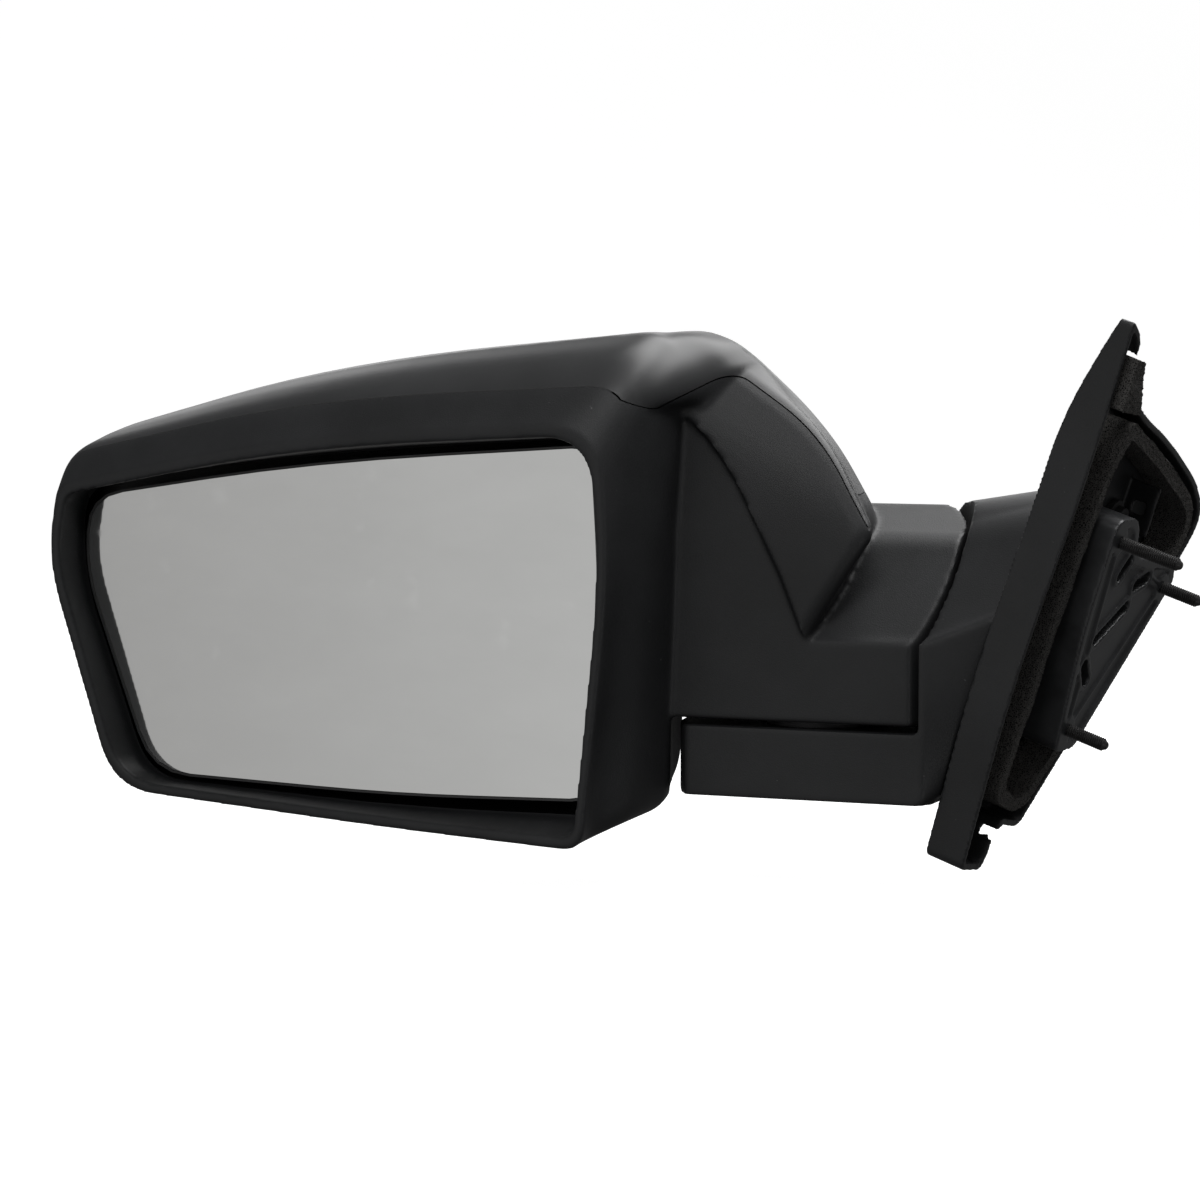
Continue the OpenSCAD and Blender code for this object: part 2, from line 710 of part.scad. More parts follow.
// Jack axes and gear layout, in x and z
tilt_pt = [joint_at[0], joint_at[2] + jack_arm];
pan_pt = [joint_at[0] + jack_arm, joint_at[2]];
gear_r = 12;
worm_r = 4;
worm_off = gear_r + worm_r + 0.3;
gear_y0 = 22;
gear_y1 = 34;
module case_rear_cuts() {
    for (p = [tilt_pt, pan_pt]) {
        facing_y(p, case_rear - 1) cylinder(r = 8.4, h = 9);
    }
}
module actuator_case_rear() {
    color("#3d4043") in_row() difference() {
        union() {
            facing_y([joint_at[0], joint_at[2]], case_rear) cylinder(r = case_r, h = case_split - case_rear);
            // Ears that carry the universal joint
            for (side = [-1, 1]) {
                translate([joint_at[0] + side * 12 - 2, joint_at[1], joint_at[2]]) {
                    rotate([0, 90, 0]) cylinder(r = 4.6, h = 4);
                    translate([0, 0, -4.6]) cube([4, case_rear - joint_at[1] + 1, 9.2]);
                }
            }
        }
        case_rear_cuts();
        translate([joint_at[0] - 20, joint_at[1], joint_at[2]])
            rotate([0, 90, 0]) cylinder(d = cross_pin_d + 0.1, h = 40);
        for (p = case_screw_pts) {
            facing_y(p, case_rear - 1) cylinder(d = 3, h = 9);
        }
    }
}
module actuator_case_front() {
    color("#33363a") in_row() difference() {
        facing_y([joint_at[0], joint_at[2]], case_split) cylinder(r = case_r, h = case_front - case_split);
        facing_y([joint_at[0], joint_at[2]], case_split - 1)
            cylinder(r = case_r - 9, h = case_front - case_split - 1.5);
        for (p = case_screw_pts) {
            facing_y(p, case_split - 1) cylinder(d = 3, h = 14);
        }
        for (p = frame_screw_pts) {
            facing_y(p, case_front - 8) cylinder(d = 4.4, h = 12);
        }
        // Opening for the wiring plug
        translate([joint_at[0] + 38, case_front - 14, joint_at[2] + 16]) cube([20, 9, 12]);
        for (p = [tilt_pt, pan_pt]) {
            facing_y(p, case_front - 4) cylinder(r = 5.5, h = 6);
        }
    }
}
module actuator_screws() {
    color("#b9bcc0") in_row() {
        for (p = case_screw_pts) {
            translate([p[0], case_split + 12, p[1]])
                rotate([90, 0, 0]) pan_screw(3, 6, case_split + 12 - case_rear);
        }
    }
}
module motor(at, turn) {
    translate([at[0], 28, at[1]]) rotate([0, turn, 0]) {
        cylinder(r = 8, h = 22);
        translate([0, 0, -2]) cylinder(r = 3, h = 2);
        translate([0, 0, 22]) cylinder(r = 2.5, h = 1.5);
    }
}
// Motors lie square to the jack axes; their shafts end at the worms
tilt_worm_at = [tilt_pt[0] - worm_off, tilt_pt[1] - 8];
pan_worm_at = [pan_pt[0] - 8, pan_pt[1] - worm_off];
worm_len = 15;
module worm_at(at, turn) {
    translate([at[0], 28, at[1]]) rotate([0, turn, 0]) {
        cylinder(r = 1, h = worm_len + 2);
        for (i = [0:5]) {
            translate([0, 0, 0.5 + 2.5 * i]) cylinder(r1 = 2.4, r2 = worm_r, h = 1.25);
            translate([0, 0, 1.75 + 2.5 * i]) cylinder(r1 = worm_r, r2 = 2.4, h = 1.25);
        }
    }
}
module tilt_motor() {
    color("#8f9296") in_row() motor([tilt_worm_at[0], tilt_worm_at[1] - 24.2], 0);
}
module pan_motor() {
    color("#8f9296") in_row() motor([pan_worm_at[0] - 24.2, pan_worm_at[1]], 90);
}
module tilt_worm() {
    color("#d9d6cc") in_row() worm_at(tilt_worm_at, 0);
}
module pan_worm() {
    color("#d9d6cc") in_row() worm_at(pan_worm_at, 90);
}
gear_teeth = 24;
module nut_gear(at) {
    facing_y(at, gear_y0) difference() {
        union() {
            linear_extrude(gear_y1 - gear_y0) polygon([
                for (i = [0:2 * gear_teeth - 1])
                    let (r = i % 2 == 0 ? gear_r : gear_r - 1.6, a = 180 * (i + 0.5) / gear_teeth)
                        r * [cos(a), sin(a)]
            ]);
            cylinder(r = 6.5, h = gear_y1 - gear_y0 + 3);
        }
        translate([0, 0, -1]) cylinder(r = 4.1, h = 30);
    }
}
module tilt_gear() {
    color("#e6e2d4") in_row() nut_gear(tilt_pt);
}
module pan_gear() {
    color("#e6e2d4") in_row() nut_gear(pan_pt);
}
ball_end_r = 3.8;
module jack(at) {
    facing_y(at, joint_at[1]) {
        sphere(r = ball_end_r, $fn = 48);
        cylinder(r = 2.4, h = 6);
        translate([0, 0, 6]) cylinder(r = 4, h = 23);
    }
}
module tilt_jack_screw() {
    color("#cfcabb") in_row() jack(tilt_pt);
}
module pan_jack_screw() {
    color("#cfcabb") in_row() jack(pan_pt);
}
module actuator_connector() {
    color("#1e1f22") in_row() translate([joint_at[0] + 38.2, case_front - 13.8, joint_at[2] + 16.2]) {
        difference() {
            cube([22, 8.6, 11.6]);
            translate([16, 1.5, 1.5]) cube([8, 5.6, 8.6]);
        }
    }
}
module head_harness() {
    color("#18181a") in_row() bundle(head_route, 4);
}

// ---- Moving glass ----
module universal_cross() {
    color("#b5b8bb") in_row() translate(joint_at) {
        sphere(r = 6, $fn = 48);
        translate([-15, 0, 0]) rotate([0, 90, 0]) cylinder(d = cross_pin_d, h = 30);
        translate([0, 0, -15]) cylinder(d = cross_pin_d, h = 30);
    }
}
module glass_holder() {
    color("#1f2123") in_row() difference() {
        union() {
            difference() {
                slab_y(soft(inset(glass_outline, -holder_rim)), glass_y - 0.6, holder_back);
                slab_y(soft(inset(glass_outline, -0.1)), glass_y - 1, holder_back - holder_t);
            }
            // Stiffening frame and jack sockets on the back
            difference() {
                slab_y(soft(inset(glass_outline, 14)), holder_back - 0.5, holder_back + 3);
                slab_y(soft(inset(glass_outline, 17)), holder_back - 1, holder_back + 4);
            }
            for (side = [-1, 1]) {
                translate([joint_at[0], joint_at[1], joint_at[2] + side * 12 - 2]) {
                    cylinder(r = 4.6, h = 4);
                    translate([-4.6, holder_back - joint_at[1] - 1, 0])
                        cube([9.2, joint_at[1] - holder_back + 1, 4]);
                }
            }
            for (p = [tilt_pt, pan_pt]) {
                facing_y(p, holder_back - 1) cylinder(r = 7.5, h = joint_at[1] - holder_back + 1.6);
            }
        }
        translate([joint_at[0], joint_at[1], joint_at[2] - 20]) cylinder(d = cross_pin_d + 0.1, h = 40);
        for (p = [tilt_pt, pan_pt]) {
            facing_y(p, joint_at[1]) sphere(r = ball_end_r + 0.7, $fn = 48);
        }
        for (x = [-160, -152]) {
            translate([x, holder_back - 4, -60]) cube([4, 6, 1.4]);
        }
    }
}
module heater_pad() {
    color("#5a4a3a") in_row() {
        slab_y(soft(inset(glass_outline, 2)), glass_y + glass_t, glass_y + glass_t + heater_t);
    }
}
module heater_terminals() {
    color("#c9a24a") in_row() {
        for (x = [-160, -152]) {
            translate([x + 0.2, holder_back - holder_t, -59.8]) cube([3.6, 7, 1]);
        }
    }
}
module mirror_glass() {
    color("#c4c8ca") in_row() slab_y(soft(glass_outline), glass_y, glass_y + glass_t);
}

mount_bracket();
base_cover();
sail_panel();
panel_gasket();
corner_foam();
mount_studs();
wire_grommet();
base_harness();
pivot_post();
lower_detent_ring();
detent_balls();
thrust_washer();
pivot_spring();
spring_retainer();
retaining_ring();
pivot_plug();
base_screws();
head_housing();
top_cap();
inner_frame();
pivot_bushing();
upper_detent_ring();
frame_screws();
actuator_case_rear();
actuator_case_front();
actuator_screws();
tilt_motor();
pan_motor();
tilt_worm();
pan_worm();
tilt_gear();
pan_gear();
tilt_jack_screw();
pan_jack_screw();
actuator_connector();
head_harness();
universal_cross();
glass_holder();
heater_pad();
heater_terminals();
mirror_glass();
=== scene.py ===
"""Looks of the folding car door mirror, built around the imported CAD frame."""

import math

import bmesh
import bpy
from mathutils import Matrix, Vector, noise


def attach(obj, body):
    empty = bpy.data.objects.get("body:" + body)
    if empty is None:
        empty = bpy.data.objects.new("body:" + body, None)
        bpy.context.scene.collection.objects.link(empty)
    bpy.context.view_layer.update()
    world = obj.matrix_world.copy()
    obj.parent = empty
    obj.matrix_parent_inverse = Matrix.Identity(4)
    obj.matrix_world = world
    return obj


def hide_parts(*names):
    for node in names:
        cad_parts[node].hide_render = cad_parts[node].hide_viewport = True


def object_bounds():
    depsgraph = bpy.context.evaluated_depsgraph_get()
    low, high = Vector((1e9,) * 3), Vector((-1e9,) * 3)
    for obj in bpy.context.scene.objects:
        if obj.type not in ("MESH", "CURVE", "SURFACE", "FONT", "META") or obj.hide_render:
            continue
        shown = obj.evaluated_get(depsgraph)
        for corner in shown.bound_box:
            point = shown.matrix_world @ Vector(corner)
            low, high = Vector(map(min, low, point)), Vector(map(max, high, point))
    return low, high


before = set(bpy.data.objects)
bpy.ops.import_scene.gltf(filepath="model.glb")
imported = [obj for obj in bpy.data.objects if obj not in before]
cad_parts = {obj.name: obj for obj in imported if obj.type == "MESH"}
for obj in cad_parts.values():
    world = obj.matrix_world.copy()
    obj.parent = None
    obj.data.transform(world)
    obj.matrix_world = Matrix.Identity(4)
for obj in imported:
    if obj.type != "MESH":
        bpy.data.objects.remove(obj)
cad_low, cad_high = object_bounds()
scene = bpy.context.scene
MM = 0.001

# ---------------------------------------------------------------------------
# Design values, in millimetres in the design frame: glass side -Y, inboard +X
# ---------------------------------------------------------------------------
WALL = 2.7
# Drawn a little wider than the CAD seam, so that moulded edges leave a clear line
SEAM_GAP = 0.5
SKIRT = 19
LIP_Y, SEAM_Y, SKIN_Y = -26, -14, 20
TUNNEL_END = -3
PIVOT = (88, 58)
BOSS_TOP = -58
ARM_R, SOCKET_R, RECESS_R = 63.5, 66.5, 71.5
ARM_Z, DECK_Z, DECK_LOW = -54, -57, -89
POST_R = 14
PAD_H = 10
FAR = 400

PANEL_AT = Vector((200, 15, 5.2))
PANEL_TILT = math.radians(18.5)
PANEL_TOE = math.radians(8)
PANEL_FWD = Vector((math.sin(PANEL_TOE), math.cos(PANEL_TOE), 0))
PANEL_UP = Vector((
    math.sin(PANEL_TILT) * math.cos(PANEL_TOE),
    -math.sin(PANEL_TILT) * math.sin(PANEL_TOE),
    math.cos(PANEL_TILT),
))
PANEL_OUT = PANEL_FWD.cross(PANEL_UP)


def on_panel(s, h, w):
    return PANEL_AT + s * PANEL_FWD + h * PANEL_UP + w * PANEL_OUT


ROW_ORIGIN = on_panel(80, -20, PAD_H)


def to_row(point):
    """A design point, in millimetres, as a point of the row frame in metres."""
    return (Vector(point) - ROW_ORIGIN) * MM


# Outlines are corners [a, b, cut]: the rounding takes cut from each side.
LIP = [
    [-265, 48, 8], [-271, 13, 20], [-237, -94, 22], [-100, -105, 40],
    [1, -111, 10], [14.5, 14, 40], [9, 80, 26], [-140, 72.5, 95],
]
SEAM = [
    [-267, 62, 12], [-271.5, 13, 30], [-237, -93, 22], [-100, -104, 40],
    [2, -110, 12], [18, 14, 40], [20, 97, 22], [-140, 89, 95],
]
FULL = [
    [-272, 70, 24], [-272, 8, 30], [-238, -92, 26], [-100, -102, 40],
    [24, -99, 16], [29, 10, 40], [30, 122, 20], [-140, 105, 95],
]
CREST = [
    [-270, 72, 28], [-270, 6, 34], [-236, -84, 30], [-100, -95, 40],
    [24, -92, 20], [30, 10, 40], [32, 123, 24], [-140, 108, 95],
]
DOME_MID = (-100, 12)
DOME_POWER = 3.4
OUTBOARD_DEPTH, INBOARD_DEPTH = 38, 98
SHOULDER_REAR = [
    [88, -54, 4], [90, -18, 10], [122, 31, 6], [94.5, 77, 28],
    [48, 108, 9], [30, 99, 6], [4, 96, 6], [4, -54, 3],
]
SHOULDER_CROWN = [
    [88, -54, 4], [92, -18, 10], [112, 37, 9], [88, 79, 28],
    [43, 120, 16], [12, 120.5, 12], [-40, 115.5, 8], [-40, -54, 3],
]
SHOULDER_FRONT = [
    [80, -48, 6], [84, -18, 10], [92, 28, 14], [68, 66, 24],
    [34, 92, 16], [12, 94, 14], [-18, 90, 14], [-18, -48, 6],
]
SHOULDER_YS = (16.5, 52, 110)
SHOULDER_MID = (56, 24)
# Forward lean of the shoulder's rear face: depth at the top, and the rise it grows over
LEAN_DEPTH, LEAN_SPAN = 25, 78
FLANK = [
    [24, -60], [24, 87], [32, 82.5], [42, 74], [52, 62], [60, 50],
    [69, 32.5], [79, 13], [91, -16.5], [160, -16.5], [160, -60],
]
# Band that carries the pod's upper corner over to the shoulder: (y, outline)
BRIDGE = [
    (-10, [[-40, 82, 2], [20, 82, 2], [20.5, 90, 5], [18, 95.5, 6], [10, 97.8, 8], [-40, 94.5, 4]]),
    (1, [[-40, 86, 2], [27, 86, 2], [28.5, 92, 5], [25, 101, 6], [15, 107.3, 8], [-40, 102.5, 4]]),
    (12, [[-40, 87, 2], [33, 87, 2], [35, 93, 5], [31, 105, 6], [19, 113.5, 8], [-40, 108.5, 4]]),
    (25, [[-40, 88, 2], [41, 88, 2], [43.5, 95.5, 5], [38, 109, 6], [24, 119, 8], [-40, 113.8, 4]]),
    (36, [[-40, 88, 2], [46, 88, 2], [52, 101, 5], [43, 114, 6], [29, 120.8, 8], [-40, 115.2, 4]]),
    (50, [[-40, 88, 2], [50, 88, 2], [60, 104, 5], [47, 116, 6], [33, 121.3, 8], [-40, 115.6, 4]]),
]
ARM_SECTION = [
    [113, -54, 8], [113, 28, 8], [105, 42, 6], [58, 28, 7],
    [24, -14, 1.5], [20, -17.5, 1.5], [20, -54, 2],
]
BASE_SECTION = [
    [116, -89, 8], [116, 20, 10], [102, 43, 9], [76, 43, 9],
    [58, 29, 7], [24, -14, 2], [20, -17, 2], [20, -89, 3],
]
BASE_ROOT = [
    [84, -88, 14], [134, 10, 14], [110, 44, 12], [60, 44, 12],
    [34, 32, 14], [12, -11, 6], [6, -16, 3], [5, -102, 6],
]
FACE_DEPTH = 45
BROW_FACE = [
    [-320, -60, 1], [4, -60, 1], [4, 93.8, 3], [13, 91, 3], [26, 85.5, 2],
    [50, 102.5, 9], [92.5, 74.5, 30], [119.5, 32, 1], [119.5, 200, 1], [-320, 200, 1],
]
CAP_FACE = [
    [-320, -52, 1], [10, -52, 1], [55, 32, 4], [96, 47, 4], [119.5, 47, 1],
    [119.5, 200, 1], [-320, 200, 1],
]
CAP_SIDE = [
    [-60, 46, 1], [-6, 46, 8], [30, -20, 8], [60, -52, 8], [140, -52, 1],
    [140, 200, 1], [-60, 200, 1],
]
TUNNEL_DEPTH = [
    [-263.5, 48, 18], [-264, 4, 20], [-230, -91, 20], [-100, -98.5, 40],
    [2, -98, 8], [9, 0, 30], [4, 74, 10], [-140, 65, 90],
]
RIM = [
    [10, -130, 4], [33, -133, 4], [41, -112, 4], [62, -116, 6], [92, -78, 12],
    [150, -5, 22], [172, 29, 14], [150, 47, 20], [94, 70, 20], [55, 82, 10],
    [38, 90, 8], [17, 120, 5], [4, 127, 4], [6.5, 50, 40], [-1.5, -40, 40],
]
GASKET = [
    [19, -98, 8], [48, -108, 8], [62, -104, 8], [88, -74, 12], [142, -6, 22],
    [160, 26, 12], [146, 42, 18], [92, 64, 20], [54, 77, 8], [40, 82, 5],
    [27, 60, 25], [21, 0, 30],
]
PAD = [
    [37, -14, 20], [51, -74, 5], [72, -74, 5], [132, 4, 6],
    [122, 14, 6], [72, 18, 10], [62, 38, 10], [36, 38, 9],
]
# Cut that draws the skirt's upper end out to a point, in h and w above its edge
POINT_CUT = [
    (50, -30), (50, -0.1), (66, 0), (74, 0.6), (82, 1.6), (90, 3.1), (98, 4.9), (106, 6.9),
    (114, 9), (130, 13.6), (146, 18.6), (146, -30),
]
CORNER_FOAM = [[9, 86, 2], [34, 84, 2], [20, 110, 2], [10, 112, 2]]
STUD_PTS = [(46.6, 27), (57.4, -63.5), (118, 1)]
STUD_LENGTHS = [28, 18, 18]
STUD_D = 6
BASE_SCREW_PTS = [(32, -92), (11.5, -30), (111, 19.5)]
SLOTS = [((60, 10), (66, 17)), ((56, -20), (80, -6)), ((84, 4), (96, 7)), ((52, -32), (60, -40))]
GROMMET_PT = (92, 27)
# Mould settings for each shell: voxel size in mm and smoothing passes
HEAD_MOULD, BASE_MOULD, SAIL_MOULD, CAST_MOULD = (1.2, 6), (1.2, 3), (0.8, 2), (0.7, 3)
# Places where the head's joined shapes run into each other: middle, reach, passes
BLENDS = [((24, 18, 108), 30, 50), ((38, 24, 94), 17, 40)]
# Foam: voxel size and pore depth in mm
FOAM_VOXEL, FOAM_PORES = 0.85, 0.8


# ---------------------------------------------------------------------------
# Outlines
# ---------------------------------------------------------------------------
def soft(corners, steps=8, fill=6):
    """Points of a rounded outline, with fill points along each straight stretch."""
    out = []
    n = len(corners)
    points = [Vector(c[:2]) for c in corners]

    def toward(i, j):
        edge = points[j] - points[i]
        return points[i] + min(corners[i][2], 0.47 * edge.length) * edge.normalized()

    for i in range(n):
        a, b = toward(i, (i - 1) % n), toward(i, (i + 1) % n)
        for k in range(steps + 1):
            t = k / steps
            out.append((1 - t) ** 2 * a + 2 * t * (1 - t) * points[i] + t * t * b)
        following = toward((i + 1) % n, i)
        out += [b.lerp(following, k / (fill + 1)) for k in range(1, fill + 1)]
    return out


def inset(corners, d):
    """Corners moved inward by d, for corners listed anticlockwise."""
    out = []
    n = len(corners)
    for i, corner in enumerate(corners):
        p = Vector(corner[:2])
        before = (p - Vector(corners[i - 1][:2])).normalized()
        after = (Vector(corners[(i + 1) % n][:2]) - p).normalized()
        n0, n1 = Vector((-before.y, before.x)), Vector((-after.y, after.x))
        q = p + d * (n0 + n1) / (1 + n0.dot(n1))
        out.append([q.x, q.y, max(corner[2] - 0.4 * d, 0.6)])
    return out


def mix(a, b, t):
    return [[u + (v - u) * t for u, v in zip(p, q)] for p, q in zip(a, b)]


def xz_ring(points, y):
    return [(p[0], y, p[1]) for p in points]


def yz_ring(points, x):
    return [(x, p[0], p[1]) for p in points]


def panel_ring(points, w):
    return [on_panel(p[0], p[1], w) for p in points]


# ---------------------------------------------------------------------------
# Solids
# ---------------------------------------------------------------------------
def solid(name, rings):
    """Closed mesh object through rings of equal length, in design millimetres."""
    mesh = bpy.data.meshes.new(name)
    bm = bmesh.new()
    rows = [[bm.verts.new(to_row(p)) for p in ring] for ring in rings]
    count = len(rows[0])
    for low, high in zip(rows, rows[1:]):
        for j in range(count):
            k = (j + 1) % count
            bm.faces.new((low[j], low[k], high[k], high[j]))
    ends = [bm.faces.new(rows[0][::-1]), bm.faces.new(rows[-1])]
    bmesh.ops.triangulate(bm, faces=ends, ngon_method="EAR_CLIP")
    bmesh.ops.triangulate(bm, faces=bm.faces)
    bmesh.ops.recalc_face_normals(bm, faces=bm.faces)
    bm.to_mesh(mesh)
    bm.free()
    obj = bpy.data.objects.new(name, mesh)
    scene.collection.objects.link(obj)
    return obj


def slab_y(points, y0, y1):
    return solid("slab", [xz_ring(points, y0), xz_ring(points, y1)])


def slab_x(points, x0, x1):
    return solid("slab", [yz_ring(points, x0), yz_ring(points, x1)])


def plate(corners, w0, w1):
    points = soft(corners)
    return solid("plate", [panel_ring(points, w0), panel_ring(points, w1)])


def circle(radius, sides=120):
    return [
        (radius * math.cos(2 * math.pi * i / sides), radius * math.sin(2 * math.pi * i / sides))
        for i in range(sides)
    ]


def pivot_slab(points, z0, z1):
    """Upright slab of an outline in x and y about the fold axis."""
    return solid("upright", [[(PIVOT[0] + x, PIVOT[1] + y, z) for x, y in points] for z in (z0, z1)])


def at_pivot(radius, z0, z1):
    return pivot_slab(circle(radius), z0, z1)


def panel_hole(s, h, radius, w0, w1):
    ring = [(s + x, h + y) for x, y in circle(radius, 32)]
    return solid("hole", [panel_ring(ring, w) for w in (w0, w1)])


def box_on_panel(s_range, h_range, w_range):
    (s0, s1), (h0, h1) = s_range, h_range
    ring = [(s0, h0), (s1, h0), (s1, h1), (s0, h1)]
    return solid("box", [panel_ring(ring, w) for w in w_range])


def capsule(a, b, radius, w0, w1):
    """Rounded bar on the panel from a to b."""
    start, end = Vector(a), Vector(b)
    along = math.atan2(end.y - start.y, end.x - start.x)
    ring = []
    for middle, turn in ((end, -90), (start, 90)):
        for i in range(17):
            angle = along + math.radians(turn + 180 * i / 16)
            ring.append((middle.x + radius * math.cos(angle), middle.y + radius * math.sin(angle)))
    return solid("capsule", [panel_ring(ring, w) for w in (w0, w1)])


def bake(obj):
    """Applies the object's modifiers to its mesh."""
    view = bpy.context.evaluated_depsgraph_get()
    mesh = bpy.data.meshes.new_from_object(obj.evaluated_get(view))
    old = obj.data
    obj.modifiers.clear()
    obj.data = mesh
    bpy.data.meshes.remove(old)
    return obj


def combine(target, operation, *others):
    for other in others:
        mod = target.modifiers.new("combine", "BOOLEAN")
        mod.operation = operation
        mod.solver = "MANIFOLD"
        mod.object = other
        bake(target)
        bpy.data.objects.remove(other)
    return target


def join(target, *others):
    return combine(target, "UNION", *others)


def cut(target, *others):
    return combine(target, "DIFFERENCE", *others)


def keep(target, *others):
    return combine(target, "INTERSECT", *others)


def copy_of(obj):
    twin = obj.copy()
    twin.data = obj.data.copy()
    scene.collection.objects.link(twin)
    return twin


def mould(obj, voxel, passes):
    """Even mesh with the soft edges of a moulding: voxel size in mm, smoothing passes."""
    remesh = obj.modifiers.new("even", "REMESH")
    remesh.mode = "VOXEL"
    remesh.voxel_size = voxel * MM
    smooth = obj.modifiers.new("soften", "SMOOTH")
    smooth.factor = 0.5
    smooth.iterations = passes
    return bake(obj)


def blend(obj, middle, reach, passes):
    """Extra smoothing around one place, fading out at reach millimetres from it."""
    group = obj.vertex_groups.new(name="blend")
    centre_at = to_row(middle)
    for v in obj.data.vertices:
        share = 1 - (v.co - centre_at).length / (reach * MM)
        if share > 0:
            group.add([v.index], min(1, 2 * share), "REPLACE")
    smooth = obj.modifiers.new("blend", "SMOOTH")
    smooth.factor = 0.5
    smooth.iterations = passes
    smooth.vertex_group = "blend"
    bake(obj)
    obj.vertex_groups.clear()


# ---------------------------------------------------------------------------
# Head skin
# ---------------------------------------------------------------------------
def front_y(x):
    return OUTBOARD_DEPTH + (INBOARD_DEPTH - OUTBOARD_DEPTH) * (x + 270) / 300


def dome_ring(d, t):
    shrink = max(math.sqrt(1 - t ** DOME_POWER), 0.12)
    ease = min(1, 2.5 * t)
    ease = ease * ease * (3 - 2 * ease)
    ring = []
    for p in soft(inset(mix(FULL, CREST, ease), d)):
        x = DOME_MID[0] + (p[0] - DOME_MID[0]) * shrink
        z = DOME_MID[1] + (p[1] - DOME_MID[1]) * shrink
        ring.append((x, SKIN_Y + t * (front_y(x) - d - SKIN_Y), z))
    return ring


def flowing(stations, per_gap):
    """Outlines between the given (y, outline) stations, along smooth curves in y."""
    out = []
    last = len(stations) - 1
    for i in range(last):
        (y1, c1), (y2, c2) = stations[i], stations[i + 1]
        y0, c0 = stations[max(i - 1, 0)]
        y3, c3 = stations[min(i + 2, last)]
        for k in range(per_gap):
            t = k / per_gap
            h1, h2 = t ** 3 - 2 * t * t + t, t ** 3 - t * t
            h0 = 3 * t * t - 2 * t ** 3
            rows = []
            for p0, p1, p2, p3 in zip(c0, c1, c2, c3):
                row = []
                for v0, v1, v2, v3 in zip(p0, p1, p2, p3):
                    m1 = (v2 - v0) / (y2 - y0) * (y2 - y1)
                    m2 = (v3 - v1) / (y3 - y1) * (y2 - y1)
                    row.append((1 - h0) * v1 + h0 * v2 + h1 * m1 + h2 * m2)
                rows.append(row)
            out.append((y1 + (y2 - y1) * t, rows))
    out.append(stations[last])
    return out


def pod(d, start_y, rows=30):
    k = (start_y - LIP_Y) / (SEAM_Y - LIP_Y)
    stations = [
        (start_y, mix(LIP, SEAM, k)), (SEAM_Y, SEAM), (1, mix(SEAM, FULL, 0.6)), (SKIN_Y, FULL),
    ]
    rings = [xz_ring(soft(inset(corners, d)), y) for y, corners in flowing(stations, 6)[:-1]]
    rings += [dome_ring(d, math.sin(0.5 * math.pi * i / rows)) for i in range(rows + 1)]
    return solid("pod", rings)


def lean(p, y):
    """Depth of a shoulder point: its rear face leans forward toward its upper end."""
    rise = 0.45 * (p[0] - 56) + 0.9 * (p[1] - 10) - 5
    fade = max(0, min(1, (SHOULDER_YS[1] - y) / (SHOULDER_YS[1] - SHOULDER_YS[0])))
    return y + LEAN_DEPTH * (max(0, rise) / LEAN_SPAN) ** 3 * fade


def leaning_ring(points, y):
    return [(p[0], lean(p, y), p[1]) for p in points]


def shoulder(d):
    rear, crown, front = SHOULDER_YS
    rings = []
    edge = soft(inset(SHOULDER_REAR, d + 6))
    middle = Vector(SHOULDER_MID)
    for k in range(1, 13):
        rings.append(leaning_ring([middle + (p - middle) * k / 12 for p in edge], rear - 0.6 + d))
    for inward, y in ((4, rear), (2, rear + 1.2), (0.6, rear + 2.8), (0, rear + 5)):
        rings.append(leaning_ring(soft(inset(SHOULDER_REAR, d + inward)), y + d))
    stations = [(rear + 12, 0.35), (rear + 20, 0.65), (rear + 28, 0.9)]
    for y, share in stations:
        rings.append(leaning_ring(soft(inset(mix(SHOULDER_REAR, SHOULDER_CROWN, share), d)), y))
    front_path = [
        (crown, SHOULDER_CROWN), (crown + 22, mix(SHOULDER_CROWN, SHOULDER_FRONT, 0.2)),
        (front - 15, mix(SHOULDER_CROWN, SHOULDER_FRONT, 0.55)), (front - d, SHOULDER_FRONT),
    ]
    rings += [xz_ring(soft(inset(corners, d)), y) for y, corners in flowing(front_path, 5)]
    return solid("shoulder", rings)


def flank(d):
    """Cutter of the recess beside the glass, as deep as the shoulder's lean."""
    points = soft([[x, z, 4] for x, z in FLANK], 3, 10)
    return solid("flank", [xz_ring(points, 0), leaning_ring(points, SKIN_Y + d)])


def pod_bridge(d):
    rings = []
    for y, corners in flowing(BRIDGE, 4):
        rings.append(xz_ring(soft(inset(corners, d)), y + (d if y < -9 else 0)))
    return solid("bridge", rings)


def head_solid(d, start_y):
    arm = slab_x(soft(inset(ARM_SECTION, d)), 20, PIVOT[0] + ARM_R)
    side = join(shoulder(d), arm)
    cut(side, flank(d))
    beyond = solid("beyond", [
        yz_ring([(-FAR, -FAR), (FAR, -FAR), (FAR, FAR), (-FAR, FAR)], PIVOT[0]),
        yz_ring([(-FAR, -FAR), (FAR, -FAR), (FAR, FAR), (-FAR, FAR)], FAR),
    ])
    cut(beyond, at_pivot(ARM_R - d, -FAR - 1, FAR + 1))
    cut(side, beyond)
    whole = join(pod(d, start_y), pod_bridge(d), side)
    return cut(whole, at_pivot(RECESS_R + d, -FAR, ARM_Z + d))


def tunnel(grow, y0, y1):
    inner_lip = inset(LIP, 5)
    rings = []
    for y in (y0, y1):
        k = (y - LIP_Y) / (TUNNEL_END - LIP_Y)
        rings.append(xz_ring(soft(inset(mix(inner_lip, TUNNEL_DEPTH, k), -grow)), y))
    return solid("tunnel", rings)


